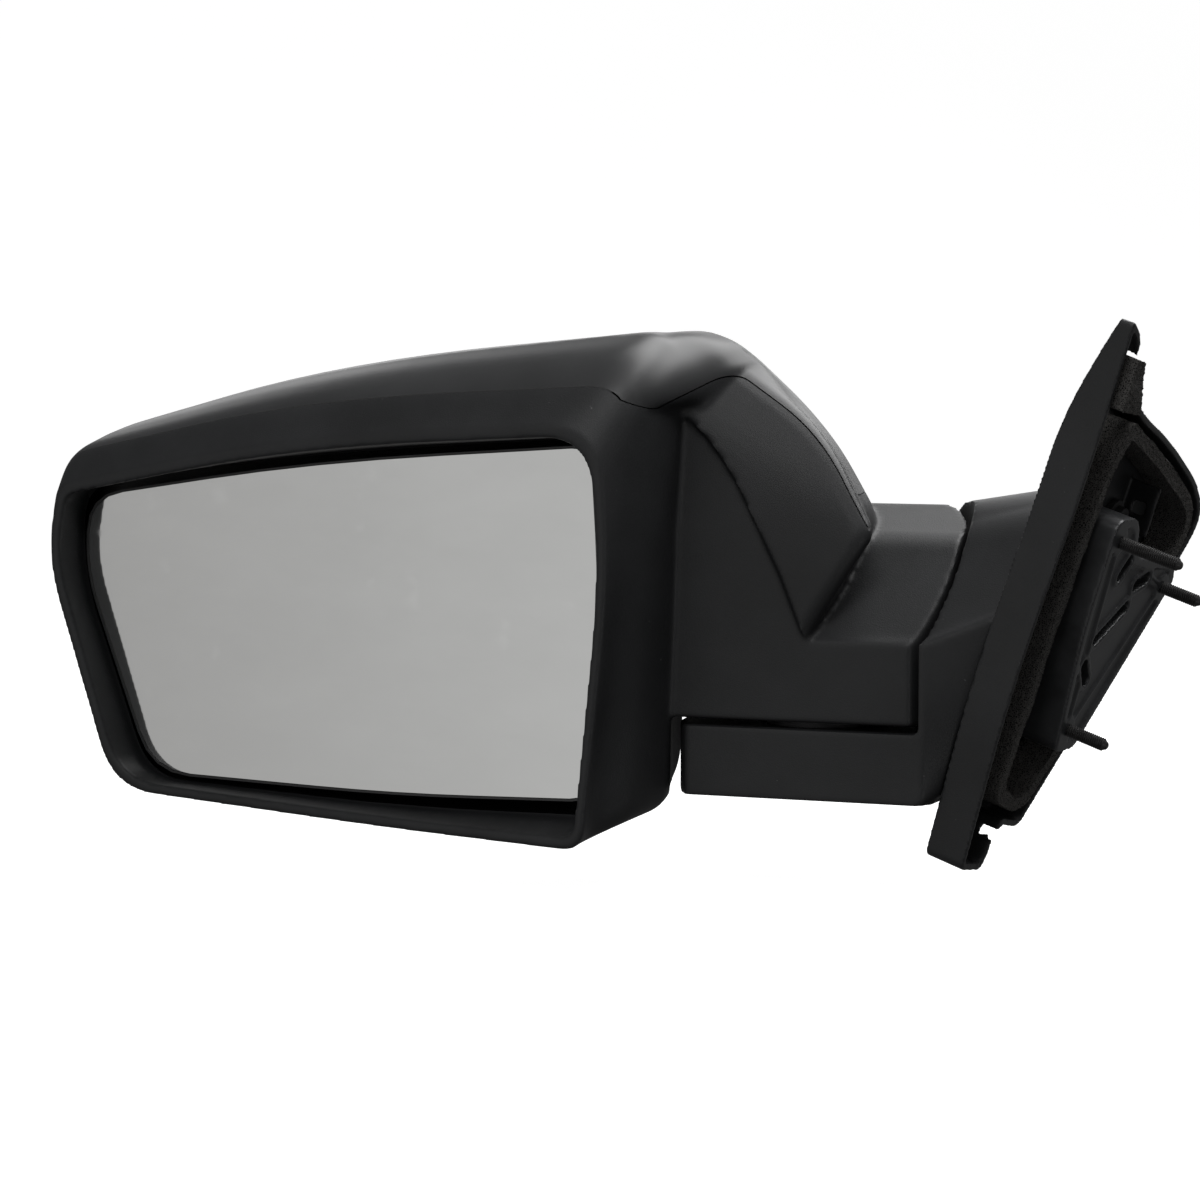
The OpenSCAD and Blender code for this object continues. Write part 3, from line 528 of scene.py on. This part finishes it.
def cap_zone(gap):
    brow = slab_y(soft(inset(BROW_FACE, gap)), SEAM_Y + gap, FACE_DEPTH)
    face = slab_y(soft(inset(CAP_FACE, gap)), FACE_DEPTH - 0.5 + gap, FAR)
    return keep(join(brow, face), slab_x(soft(inset(CAP_SIDE, gap)), -FAR, FAR))


def build_head():
    skin = head_solid(0, LIP_Y)
    cut(skin, tunnel(0, LIP_Y - 1, TUNNEL_END + 1))
    mould(skin, *HEAD_MOULD)
    for middle, reach, passes in BLENDS:
        blend(skin, middle, reach, passes)
    inside = cut(head_solid(WALL, LIP_Y + WALL), tunnel(2.2, LIP_Y, TUNNEL_END))
    cap = keep(copy_of(skin), cap_zone(SEAM_GAP))
    cut(cap, copy_of(inside))
    housing = cut(skin, inside, cap_zone(0), at_pivot(POST_R + 15.5, ARM_Z - 1, ARM_Z + WALL + 1))
    housing.name = "housing_shell"
    cap.name = "cap_shell"
    return housing, cap


# ---------------------------------------------------------------------------
# Door side
# ---------------------------------------------------------------------------
def base_body(d, w_end, rows=14):
    """Loft from the door panel to the arm's socket."""
    root = panel_ring(soft(inset(BASE_ROOT, d)), w_end)
    section = yz_ring(soft(inset(BASE_SECTION, d)), PIVOT[0] + 57)
    rings = [
        [Vector(p).lerp(Vector(q), i / rows) for p, q in zip(root, section)]
        for i in range(rows + 1)
    ]
    rings.append(yz_ring(soft(inset(BASE_SECTION, d)), PIVOT[0] + 25))
    return solid("base", rings)


def deck(d, z0, z1):
    """Round platform under the arm, with its straight front and rear edges."""
    disc = at_pivot(SOCKET_R - d, z0, z1)
    front, rear = 58 - d, -38 + d
    strip = pivot_slab([(-80, rear), (60, rear), (60, front), (-80, front)], z0 - 1, z1 + 1)
    end = pivot_slab([(0, rear), (50, rear), (50, front), (0, front)], z0, z1)
    return join(keep(disc, strip), end)


def build_base():
    cover = join(base_body(0, -SKIRT - 0.3), deck(0, DECK_LOW, DECK_Z))
    cut(cover, at_pivot(SOCKET_R, DECK_Z, FAR))
    mould(cover, *BASE_MOULD)
    void = join(base_body(WALL, -SKIRT - 0.3), deck(WALL, DECK_LOW + WALL, DECK_Z - WALL))
    join(void, plate(inset(BASE_ROOT, WALL), -SKIRT - 1.2, -SKIRT + 1))
    cut(void, at_pivot(SOCKET_R + WALL, DECK_Z - WALL, FAR))
    upper_bore = at_pivot(30, DECK_Z - WALL - 1, DECK_Z + 1)
    lower_bore = at_pivot(25, DECK_LOW - 1, DECK_LOW + WALL + 1)
    cut(cover, void, upper_bore, lower_bore)
    cover.name = "base_shell"
    return cover


def build_sail():
    sail = plate(RIM, -SKIRT, 0)
    cut(sail, plate(inset(RIM, 3), -SKIRT + 3, 1))
    wedge = solid("wedge", [[on_panel(s, h, w - SKIRT) for h, w in POINT_CUT] for s in (-20, 100)])
    notch = box_on_panel((20, 50), (92, 132), (-10, 10))
    slit = box_on_panel((36, 44), (-140, -114), (-8, 12))
    cut(sail, wedge, notch, slit)
    clip = box_on_panel((104, 106), (22, 46), (-SKIRT + 2.5, -SKIRT + 18.5))
    join(sail, cut(clip, box_on_panel((103, 107), (31, 37), (-11, -5))))
    mould(sail, *SAIL_MOULD)
    cut(sail, plate(inset(PAD, 6.5), -SKIRT - 1, -SKIRT + 4))
    cut(sail, panel_hole(*GROMMET_PT, 7.1, -SKIRT - 1, -SKIRT + 5))
    for s, h in BASE_SCREW_PTS:
        cut(sail, panel_hole(s, h, 2.25, -SKIRT - 1, -SKIRT + 5))
    sail.name = "sail_shell"
    return sail


def build_bracket():
    """Cast frame: pad with a raised border and slot rims, rib, platform and pivot boss."""
    low = DECK_LOW + 3.2
    pad = join(plate(PAD, -SKIRT + 3.5, PAD_H), plate(inset(PAD, 8), -SKIRT - 3, -SKIRT + 4))
    cut(pad, plate([[82, -40, 8], [116, 2, 8], [84, 6, 8]], -SKIRT - 4, PAD_H - 6))
    cut(pad, plate(inset(PAD, 4.5), PAD_H - 1.4, PAD_H + 1))
    for s, h in STUD_PTS:
        join(pad, panel_hole(s, h, 6.5, PAD_H - 6, PAD_H))
    for a, b in SLOTS:
        join(pad, capsule(a, b, 5.4, PAD_H - 5.5, PAD_H - 0.1))
    for a, b in ((1, 2), (0, 1), (0, 2)):
        join(pad, capsule(STUD_PTS[a], STUD_PTS[b], 1.3, PAD_H - 5.5, PAD_H - 0.2))
    for a, b in SLOTS:
        cut(pad, capsule(a, b, 3, PAD_H - 5, PAD_H + 1))
    platform = [(0, -24), (50, -24), (55, -18), (55, 22), (50, 28), (0, 24)]
    join(pad, at_pivot(28, low, BOSS_TOP))
    join(pad, pivot_slab(platform, low, low + 20))
    rib = slab_y([
        (135, low), (142, low), (156, -68), (230, -68),
        (230, -20), (186, -20), (162, -60), (135, -66),
    ], 64, 88)
    cut(rib, box_on_panel((-FAR, FAR), (-FAR, FAR), (-SKIRT - 0.5, FAR)))
    join(pad, rib)
    mould(pad, *CAST_MOULD)
    turn = math.radians(43)
    along = Vector((math.cos(turn), math.sin(turn)))
    side = Vector((-math.sin(turn), math.cos(turn)))
    corners = [a * along + b * side for a, b in ((0, -6), (80, -6), (80, 6), (0, 6))]
    channel = pivot_slab(corners, DECK_LOW, DECK_LOW + 17)
    bore = at_pivot(POST_R, DECK_LOW, DECK_LOW + 60)
    flange_seat = at_pivot(19.2, DECK_LOW, DECK_LOW + 23)
    cut(pad, bore, flange_seat, channel)
    pad.name = "bracket_cast"
    return pad


def foam(name, block):
    """Open-cell foam: a soft body pitted by two sizes of noise, pushed inward only."""
    mould(block, FOAM_VOXEL, 2)
    block.name = name
    normals = [v.normal.copy() for v in block.data.vertices]
    for v, normal in zip(block.data.vertices, normals):
        spot = v.co / MM
        wave = 0.6 * (noise.noise(spot / 14) - 0.5)
        coarse = 0.5 * abs(noise.noise(spot / 2.1 + Vector((7, 3, 1))))
        pit = abs(noise.noise(spot / 0.9)) + coarse
        v.co += normal * (wave - 0.3 - FOAM_PORES * pit) * MM
    return block


def build_gasket():
    ring = plate(inset(GASKET, 0.3), -SKIRT + 3.1, 1.9)
    cut(ring, plate(inset(GASKET, 8.7), -SKIRT, 4))
    for s, h in BASE_SCREW_PTS:
        cut(ring, panel_hole(s, h, 5.2, -SKIRT, -SKIRT + 8))
    return foam("gasket_foam", ring)


def stud(name, s, h, length):
    """Threaded stud: one start, 1 mm pitch, on a plain collar."""
    pitch, depth, sides, per_turn = 1.0, 0.55, 36, 6
    rows = []

    def ring(w, radius_of):
        return [
            on_panel(s + radius_of(a) * math.cos(a), h + radius_of(a) * math.sin(a), w)
            for a in (2 * math.pi * i / sides for i in range(sides))
        ]

    collar = STUD_D / 2 + 1
    shank = [
        (-4, collar - 0.4), (-3.6, collar), (PAD_H - 0.3, collar), (PAD_H, collar - 0.3), (PAD_H, 2.5),
    ]
    for w, r in shank:
        rows.append(ring(w, lambda a, r=r: r))
    count = int(length * per_turn / pitch)
    for i in range(count + 1):
        w = PAD_H + 0.4 + (length - 0.4) * i / count

        def thread(a, w=w):
            phase = (w / pitch - a / (2 * math.pi)) % 1
            ridge = min(1, max(0, 1.25 - 2.5 * abs(phase - 0.5)))
            return STUD_D / 2 - depth * (1 - ridge)

        rows.append(ring(w, thread))
    for w, r in ((0.6, 2.2), (1.6, 1.7), (2, 1.2)):
        rows.append(ring(PAD_H + length + w, lambda a, r=r: r))
    return solid(name, rows)


# ---------------------------------------------------------------------------
# Materials
# ---------------------------------------------------------------------------
def new_material(name, color, roughness, metallic=0.0, specular=0.5, coat=0.0):
    mat = bpy.data.materials.new(name)
    mat.use_nodes = True
    shader = mat.node_tree.nodes["Principled BSDF"]
    shader.inputs["Base Color"].default_value = (*color, 1)
    shader.inputs["Roughness"].default_value = roughness
    shader.inputs["Metallic"].default_value = metallic
    shader.inputs["Specular IOR Level"].default_value = specular
    shader.inputs["Coat Weight"].default_value = coat
    return mat


def add(mat, kind, **values):
    node = mat.node_tree.nodes.new(kind)
    for key, value in values.items():
        if key in node.inputs:
            node.inputs[key].default_value = value
        else:
            setattr(node, key, value)
    return node


def coords(mat, stretch=(1, 1, 1)):
    source = add(mat, "ShaderNodeTexCoord")
    mapping = add(mat, "ShaderNodeMapping")
    mapping.inputs["Scale"].default_value = stretch
    mat.node_tree.links.new(source.outputs["Object"], mapping.inputs["Vector"])
    return mapping.outputs["Vector"]


def speckle(mat, vector, scale, detail=3.0):
    tex = add(mat, "ShaderNodeTexNoise", Scale=scale, Detail=detail, Roughness=0.6)
    mat.node_tree.links.new(vector, tex.inputs["Vector"])
    return tex.outputs["Fac"]


def ramp(mat, factor, low, high, start=0.35, end=0.65):
    node = add(mat, "ShaderNodeValToRGB")
    node.color_ramp.elements[0].position = start
    node.color_ramp.elements[1].position = end
    node.color_ramp.elements[0].color = low if len(low) == 4 else (*low, 1)
    node.color_ramp.elements[1].color = high if len(high) == 4 else (*high, 1)
    mat.node_tree.links.new(factor, node.inputs["Fac"])
    return node.outputs["Color"]


def span(mat, factor, low, high):
    node = add(mat, "ShaderNodeMapRange")
    node.inputs["To Min"].default_value = low
    node.inputs["To Max"].default_value = high
    mat.node_tree.links.new(factor, node.inputs["Value"])
    return node.outputs["Result"]


def bump(mat, height, distance, strength=1.0, under=None):
    node = add(mat, "ShaderNodeBump", Strength=strength, Distance=distance)
    mat.node_tree.links.new(height, node.inputs["Height"])
    if under:
        mat.node_tree.links.new(under, node.inputs["Normal"])
    return node.outputs["Normal"]


def link(mat, output, socket):
    mat.node_tree.links.new(output, mat.node_tree.nodes["Principled BSDF"].inputs[socket])


def grained_plastic(name, color, roughness, grain=0.00006, cell=1500, specular=0.35):
    """Moulded plastic: etched leather-like grain, slight flow marks, fine dust."""
    mat = new_material(name, color, roughness, specular=specular)
    vector = coords(mat)
    cells = add(mat, "ShaderNodeTexVoronoi", Scale=cell)
    mat.node_tree.links.new(vector, cells.inputs["Vector"])
    fine = speckle(mat, vector, cell * 1.7)
    clouds = speckle(mat, vector, 22, 4)
    light = tuple(min(1, c * 1.22 + 0.002) for c in color)
    dark = tuple(c * 0.82 for c in color)
    tint = ramp(mat, clouds, dark, light, 0.3, 0.7)
    dust = speckle(mat, vector, 420, 1)
    specks = add(mat, "ShaderNodeMixRGB", blend_type="ADD")
    specks.inputs["Fac"].default_value = 1.0
    mat.node_tree.links.new(tint, specks.inputs["Color1"])
    grey_dust = ramp(mat, dust, (0, 0, 0), (0.05, 0.05, 0.05), 0.80, 0.84)
    mat.node_tree.links.new(grey_dust, specks.inputs["Color2"])
    link(mat, specks.outputs["Color"], "Base Color")
    link(mat, span(mat, fine, roughness - 0.07, roughness + 0.09), "Roughness")
    first = bump(mat, cells.outputs["Distance"], grain, 0.8)
    link(mat, bump(mat, fine, grain * 0.6, 0.7, first), "Normal")
    return mat


def satin_plastic(name, color, roughness):
    """Smooth moulded plastic with a faint orange peel."""
    mat = new_material(name, color, roughness, specular=0.5)
    vector = coords(mat)
    peel = speckle(mat, vector, 260, 2)
    clouds = speckle(mat, vector, 15, 3)
    light = tuple(c * 1.12 for c in color)
    dark = tuple(c * 0.9 for c in color)
    link(mat, ramp(mat, clouds, dark, light), "Base Color")
    link(mat, span(mat, clouds, roughness - 0.05, roughness + 0.05), "Roughness")
    first = bump(mat, peel, 0.00002, 0.5)
    link(mat, bump(mat, speckle(mat, vector, 2600), 0.000015, 0.6, first), "Normal")
    return mat


def worn_metal(name, color, roughness, grain=240.0, metallic=1.0):
    """Plated or cast metal: stains, fine scratches, uneven gloss."""
    mat = new_material(name, color, roughness, metallic=metallic)
    vector = coords(mat)
    stains = speckle(mat, vector, 60, 5)
    scratches = speckle(mat, coords(mat, (1, 12, 1)), grain * 4, 4)
    dark = tuple(c * 0.7 for c in color)
    light = tuple(min(1, c * 1.15) for c in color)
    link(mat, ramp(mat, stains, dark, light), "Base Color")
    link(mat, span(mat, stains, roughness - 0.08, roughness + 0.14), "Roughness")
    first = bump(mat, scratches, 0.00002, 0.4)
    link(mat, bump(mat, speckle(mat, vector, grain * 3), 0.00004, 0.5, first), "Normal")
    return mat


def foam_material(name):
    """Open-cell foam: pits darkened as painted shade between cell walls lightened as painted
    highlight, over a pitted bump.
    """
    mat = new_material(name, (0.015, 0.015, 0.015), 0.95, specular=0.15)
    vector = coords(mat)
    cells = add(mat, "ShaderNodeTexVoronoi", Scale=1100.0, feature="DISTANCE_TO_EDGE")
    mat.node_tree.links.new(vector, cells.inputs["Vector"])
    # Painted light: the grey cell wall colour is a painted highlight and the near-black pit colour is
    # painted shade
    highlit_wall, pit = (0.09, 0.087, 0.083), (0.006, 0.006, 0.006)
    link(mat, ramp(mat, cells.outputs["Distance"], highlit_wall, pit, 0.03, 0.3), "Base Color")
    link(mat, bump(mat, cells.outputs["Distance"], -0.0004, 1.0), "Normal")
    return mat


def rubber(name, color):
    mat = new_material(name, color, 0.62, specular=0.3)
    vector = coords(mat)
    bloom = speckle(mat, vector, 130, 4)
    dark, light = tuple(c * 0.75 for c in color), tuple(c * 1.5 for c in color)
    link(mat, ramp(mat, bloom, dark, light), "Base Color")
    link(mat, span(mat, bloom, 0.5, 0.75), "Roughness")
    link(mat, bump(mat, speckle(mat, vector, 1400), 0.00004, 0.5), "Normal")
    return mat


def taped_cable(name):
    """Cloth-taped wiring: diagonal wraps with a woven bump."""
    mat = new_material(name, (0.018, 0.018, 0.02), 0.85, specular=0.2)
    vector = coords(mat)
    wraps = add(mat, "ShaderNodeTexWave", Scale=60.0, Distortion=1.0, bands_direction="DIAGONAL")
    mat.node_tree.links.new(vector, wraps.inputs["Vector"])
    tint = ramp(mat, wraps.outputs["Fac"], (0.01, 0.01, 0.011), (0.03, 0.03, 0.032))
    link(mat, tint, "Base Color")
    first = bump(mat, wraps.outputs["Fac"], 0.0003, 0.8)
    link(mat, bump(mat, speckle(mat, vector, 1800), 0.0001, 0.6, first), "Normal")
    return mat


def silvered_glass(name):
    """Mirror with faint wiped smudges and a few water marks."""
    mat = new_material(name, (0.80, 0.81, 0.80), 0.03, metallic=1.0)
    vector = coords(mat)
    haze = speckle(mat, coords(mat, (1, 1, 2.2)), 16, 5)
    marks = speckle(mat, vector, 55, 2)
    tint = ramp(mat, haze, (0.80, 0.805, 0.80), (0.83, 0.835, 0.83), 0.35, 0.68)
    link(mat, tint, "Base Color")
    base = span(mat, haze, 0.02, 0.09)
    blots = add(mat, "ShaderNodeMath", operation="ADD")
    mat.node_tree.links.new(base, blots.inputs[0])
    dull = ramp(mat, marks, (0, 0, 0), (0.16, 0.16, 0.16), 0.66, 0.78)
    mat.node_tree.links.new(dull, blots.inputs[1])
    link(mat, blots.outputs["Value"], "Roughness")
    return mat


def film(name):
    """Heater film: printed conductor tracks under a clear skin."""
    mat = new_material(name, (0.2, 0.1, 0.04), 0.25, coat=0.3)
    tracks = add(mat, "ShaderNodeTexWave", Scale=90.0, bands_direction="Z")
    mat.node_tree.links.new(coords(mat), tracks.inputs["Vector"])
    tint = ramp(mat, tracks.outputs["Fac"], (0.25, 0.12, 0.04), (0.5, 0.45, 0.4), 0.75, 0.8)
    link(mat, tint, "Base Color")
    link(mat, bump(mat, tracks.outputs["Fac"], 0.0001, 0.4), "Normal")
    return mat


# ---------------------------------------------------------------------------
# Assembly
# ---------------------------------------------------------------------------
def dress(obj, mat, smooth=True):
    obj.data.materials.clear()
    obj.data.materials.append(mat)
    for face in obj.data.polygons:
        face.use_smooth = smooth
    if smooth:
        obj.data.set_sharp_from_angle(angle=math.radians(38))


def place(obj, body, node, mat):
    dress(obj, mat)
    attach(obj, body)
    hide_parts(node)


BLACK_PLASTIC = (0.0125, 0.013, 0.014)
HOUSING = grained_plastic("housing_grain", BLACK_PLASTIC, 0.50)
BASE_GRAIN = grained_plastic("base_grain", BLACK_PLASTIC, 0.50)
PANEL_GRAIN = grained_plastic("panel_grain", (0.013, 0.0135, 0.0145), 0.48, cell=1900)
CAP = satin_plastic("cap_satin", (0.022, 0.0225, 0.0235), 0.42)
FOAM = foam_material("open_foam")
STUD_STEEL = worn_metal("stud_phosphate", (0.035, 0.034, 0.034), 0.45, metallic=0.6)

housing, cap = build_head()
place(housing, "head", "head_housing", HOUSING)
place(cap, "head", "top_cap", CAP)
place(build_base(), "base", "base_cover", BASE_GRAIN)
place(build_sail(), "base", "sail_panel", PANEL_GRAIN)
CAST = worn_metal("cast_black", (0.03, 0.031, 0.033), 0.36, metallic=0.2)
place(build_bracket(), "base", "mount_bracket", CAST)
gasket = build_gasket()
place(gasket, "base", "panel_gasket", FOAM)
corner = foam("corner_block", plate(inset(CORNER_FOAM, 0.2), -8.8, 5.8))
place(corner, "base", "corner_foam", FOAM)
for label, (s, h), length in zip(("upper", "lower", "front"), STUD_PTS, STUD_LENGTHS):
    place(stud("stud_" + label, s, h, length), "base", "mount_studs", STUD_STEEL)

NODE_LOOKS = {
    "mirror_glass": silvered_glass("silvered_glass"),
    "heater_pad": film("heater_film_look"),
    "wire_grommet": rubber("grommet_rubber", (0.02, 0.02, 0.02)),
    "base_harness": taped_cable("cloth_tape"),
    "pivot_plug": grained_plastic("plug_grain", BLACK_PLASTIC, 0.5),
}
NODE_LOOKS["head_harness"] = NODE_LOOKS["base_harness"]
GROUPS = [
    (worn_metal("zinc_plate", (0.55, 0.55, 0.53), 0.32),
     ["pivot_post", "spring_retainer", "base_screws", "frame_screws", "actuator_screws",
      "tilt_motor", "pan_motor"]),
    (worn_metal("sintered_steel_look", (0.05, 0.05, 0.052), 0.55, metallic=0.6),
     ["lower_detent_ring", "upper_detent_ring"]),
    (worn_metal("spring_steel_look", (0.2, 0.2, 0.21), 0.3), ["pivot_spring", "retaining_ring"]),
    (worn_metal("polished_ball", (0.75, 0.75, 0.76), 0.16), ["detent_balls"]),
    (satin_plastic("ivory_acetal", (0.62, 0.58, 0.46), 0.35), ["thrust_washer", "pivot_bushing"]),
    (satin_plastic("white_acetal", (0.74, 0.72, 0.66), 0.35),
     ["tilt_gear", "pan_gear", "tilt_worm", "pan_worm", "tilt_jack_screw", "pan_jack_screw"]),
    (grained_plastic("glass_filled_nylon", (0.05, 0.052, 0.055), 0.55), ["inner_frame"]),
    (satin_plastic("actuator_grey", (0.06, 0.062, 0.066), 0.4),
     ["actuator_case_rear", "actuator_case_front"]),
    (satin_plastic("connector_black", (0.02, 0.02, 0.022), 0.35), ["actuator_connector"]),
    (worn_metal("zinc_casting", (0.55, 0.56, 0.57), 0.38), ["universal_cross"]),
    (satin_plastic("holder_black", (0.016, 0.016, 0.017), 0.4), ["glass_holder"]),
    (worn_metal("tinned_brass", (0.7, 0.55, 0.25), 0.3), ["heater_terminals"]),
]
for look, names in GROUPS:
    for name in names:
        NODE_LOOKS[name] = look

# Edge bevels in millimetres
BEVELS = {
    "mirror_glass": 0.25, "glass_holder": 0.25, "inner_frame": 0.4,
    "actuator_case_rear": 0.4, "actuator_case_front": 0.4, "wire_grommet": 0.4, "pivot_plug": 0.3,
    "pivot_post": 0.3, "lower_detent_ring": 0.3, "upper_detent_ring": 0.3, "spring_retainer": 0.3,
    "tilt_motor": 0.3, "pan_motor": 0.3, "actuator_connector": 0.3, "universal_cross": 0.2,
    "pivot_bushing": 0.3, "thrust_washer": 0.2,
}


def finish_node(name, obj):
    look = NODE_LOOKS[name]
    for slot in obj.material_slots:
        slot.material = look
    if not obj.material_slots:
        obj.data.materials.append(look)
    if name in BEVELS:
        weld = obj.modifiers.new("weld", "WELD")
        weld.merge_threshold = 0.000002
        bevel = obj.modifiers.new("edge", "BEVEL")
        bevel.width = BEVELS[name] * MM
        bevel.segments = 2
        bevel.limit_method = "ANGLE"
        bevel.angle_limit = math.radians(35)
        bevel.use_clamp_overlap = True
        obj.modifiers.new("normals", "WEIGHTED_NORMAL").keep_sharp = True


REPLACED = {
    "head_housing", "top_cap", "base_cover", "sail_panel", "mount_bracket", "panel_gasket",
    "corner_foam", "mount_studs",
}
for name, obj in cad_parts.items():
    if name not in REPLACED:
        finish_node(name, obj)


# ---------------------------------------------------------------------------
# Camera, floor and light
# ---------------------------------------------------------------------------
VIEW_AZIMUTH, VIEW_ELEVATION = 22, 4.5
VIEW_DISTANCE = 1.62
# Area lights in metres from the part's middle: name, place, aim, size, watts
LAMPS = [
    ("overhead", (0.45, 0.45, 1.2), (0.1, 0, 0), (1.3, 1.0), 26),
    ("rear", (-0.5, 1.8, 0.75), (0, 0, 0), (2.0, 0.9), 10),
    ("key", (-0.9, -1.4, 0.4), (0, 0, 0), (0.9, 0.9), 3.5),
    ("front", (0.3, -1.1, 1.15), (0.2, 0, 0), (0.6, 0.4), 6),
    ("fill", (1.2, -0.9, -0.3), (0.2, 0, 0), (0.5, 0.5), 2),
]
# Floor: radius of its flat part, radius of its curve up and its glow
FLOOR_FLAT, FLOOR_CURVE, FLOOR_GLOW = 2.2, 1.6, 0.93
# Card: distance from the glass and half its width and height
CARD_DISTANCE, CARD_HALF_WIDTH, CARD_HALF_HEIGHT = 1.1, 0.9, 0.8
WORLD_STRENGTH = 0.16


def direction(azimuth, elevation):
    a, e = math.radians(azimuth), math.radians(elevation)
    return Vector((math.sin(a) * math.cos(e), -math.cos(a) * math.cos(e), math.sin(e)))


def add_camera():
    data = bpy.data.cameras.new("camera")
    data.sensor_width = 36
    data.lens = 108
    cam = bpy.data.objects.new("camera", data)
    scene.collection.objects.link(cam)
    back = direction(VIEW_AZIMUTH, VIEW_ELEVATION)
    cam.location = to_row((0, 0, 0)) + VIEW_DISTANCE * back
    cam.rotation_euler = (-back).to_track_quat("-Z", "Y").to_euler()
    scene.camera = cam


def area_light(name, location, target, size, power):
    data = bpy.data.lights.new(name, "AREA")
    data.shape = "RECTANGLE"
    data.size, data.size_y = size
    data.energy = power
    lamp = bpy.data.objects.new(name, data)
    scene.collection.objects.link(lamp)
    lamp.location = location
    lamp.rotation_euler = (target - location).to_track_quat("-Z", "Y").to_euler()
    lamp.visible_camera = False


def add_stage():
    """Pale floor that curves up into a backdrop on every side."""
    bm = bmesh.new()
    sides, rings = 96, []
    floor_z = cad_low.z - 0.012
    profile = [(0.02, 0), (FLOOR_FLAT, 0)] + [
        (FLOOR_FLAT + FLOOR_CURVE * math.sin(a), FLOOR_CURVE * (1 - math.cos(a)))
        for a in (0.5 * math.pi * i / 12 for i in range(1, 13))
    ]
    middle = (cad_low + cad_high) / 2
    for radius, rise in profile:
        rings.append([
            bm.verts.new((
                middle.x + radius * math.cos(2 * math.pi * i / sides),
                middle.y + radius * math.sin(2 * math.pi * i / sides),
                floor_z + rise,
            ))
            for i in range(sides)
        ])
    for low, high in zip(rings, rings[1:]):
        for i in range(sides):
            k = (i + 1) % sides
            bm.faces.new((low[i], low[k], high[k], high[i]))
    bm.faces.new(rings[0])
    mesh = bpy.data.meshes.new("floor")
    bm.to_mesh(mesh)
    bm.free()
    floor = bpy.data.objects.new("floor", mesh)
    scene.collection.objects.link(floor)
    mat = new_material("floor_white", (0.35, 0.35, 0.35), 0.9, specular=0.1)
    tint = ramp(mat, speckle(mat, coords(mat), 3), (0.34, 0.34, 0.34), (0.36, 0.36, 0.36))
    link(mat, tint, "Base Color")
    shader = mat.node_tree.nodes["Principled BSDF"]
    shader.inputs["Emission Color"].default_value = (1, 1, 1, 1)
    shader.inputs["Emission Strength"].default_value = FLOOR_GLOW
    dress(floor, mat)
    floor.visible_diffuse = False
    floor.visible_glossy = False


def add_card():
    """Grey card beside the camera, seen only as the soft grey in the mirror glass."""
    toward = direction(-VIEW_AZIMUTH, -VIEW_ELEVATION)
    middle = to_row((-130, 0, -14)) + CARD_DISTANCE * toward
    across = Vector((toward.y, -toward.x, 0)).normalized()
    upward = across.cross(toward)
    mesh = bpy.data.meshes.new("card")
    mesh.from_pydata([
        middle + sx * CARD_HALF_WIDTH * across + sy * CARD_HALF_HEIGHT * upward
        for sx, sy in ((-1, -1), (1, -1), (1, 1), (-1, 1))
    ], [], [(0, 1, 2, 3)])
    card = bpy.data.objects.new("card", mesh)
    scene.collection.objects.link(card)
    mat = new_material("card_grey", (0, 0, 0), 1.0, specular=0.0)
    parts = add(mat, "ShaderNodeSeparateXYZ")
    mat.node_tree.links.new(coords(mat), parts.inputs["Vector"])
    glow = ramp(mat, parts.outputs["X"], (0.31, 0.305, 0.30), (0.66, 0.66, 0.655), 0.0, 1.0)
    link(mat, glow, "Emission Color")
    mat.node_tree.nodes["Mapping"].inputs["Location"].default_value = (1.25, 0, 0)
    mat.node_tree.nodes["Principled BSDF"].inputs["Emission Strength"].default_value = 1.0
    dress(card, mat)
    card.visible_camera = False
    card.visible_diffuse = False
    card.visible_shadow = False


def add_world():
    world = bpy.data.worlds.new("studio")
    world.use_nodes = True
    background = world.node_tree.nodes["Background"]
    background.inputs["Color"].default_value = (1, 1, 1, 1)
    background.inputs["Strength"].default_value = WORLD_STRENGTH
    scene.world = world


add_camera()
add_stage()
add_card()
add_world()
centre = (cad_low + cad_high) / 2
for lamp_name, place_at, aim, size, power in LAMPS:
    area_light(lamp_name, centre + Vector(place_at), centre + Vector(aim), size, power)
scene.view_settings.view_transform = "Standard"
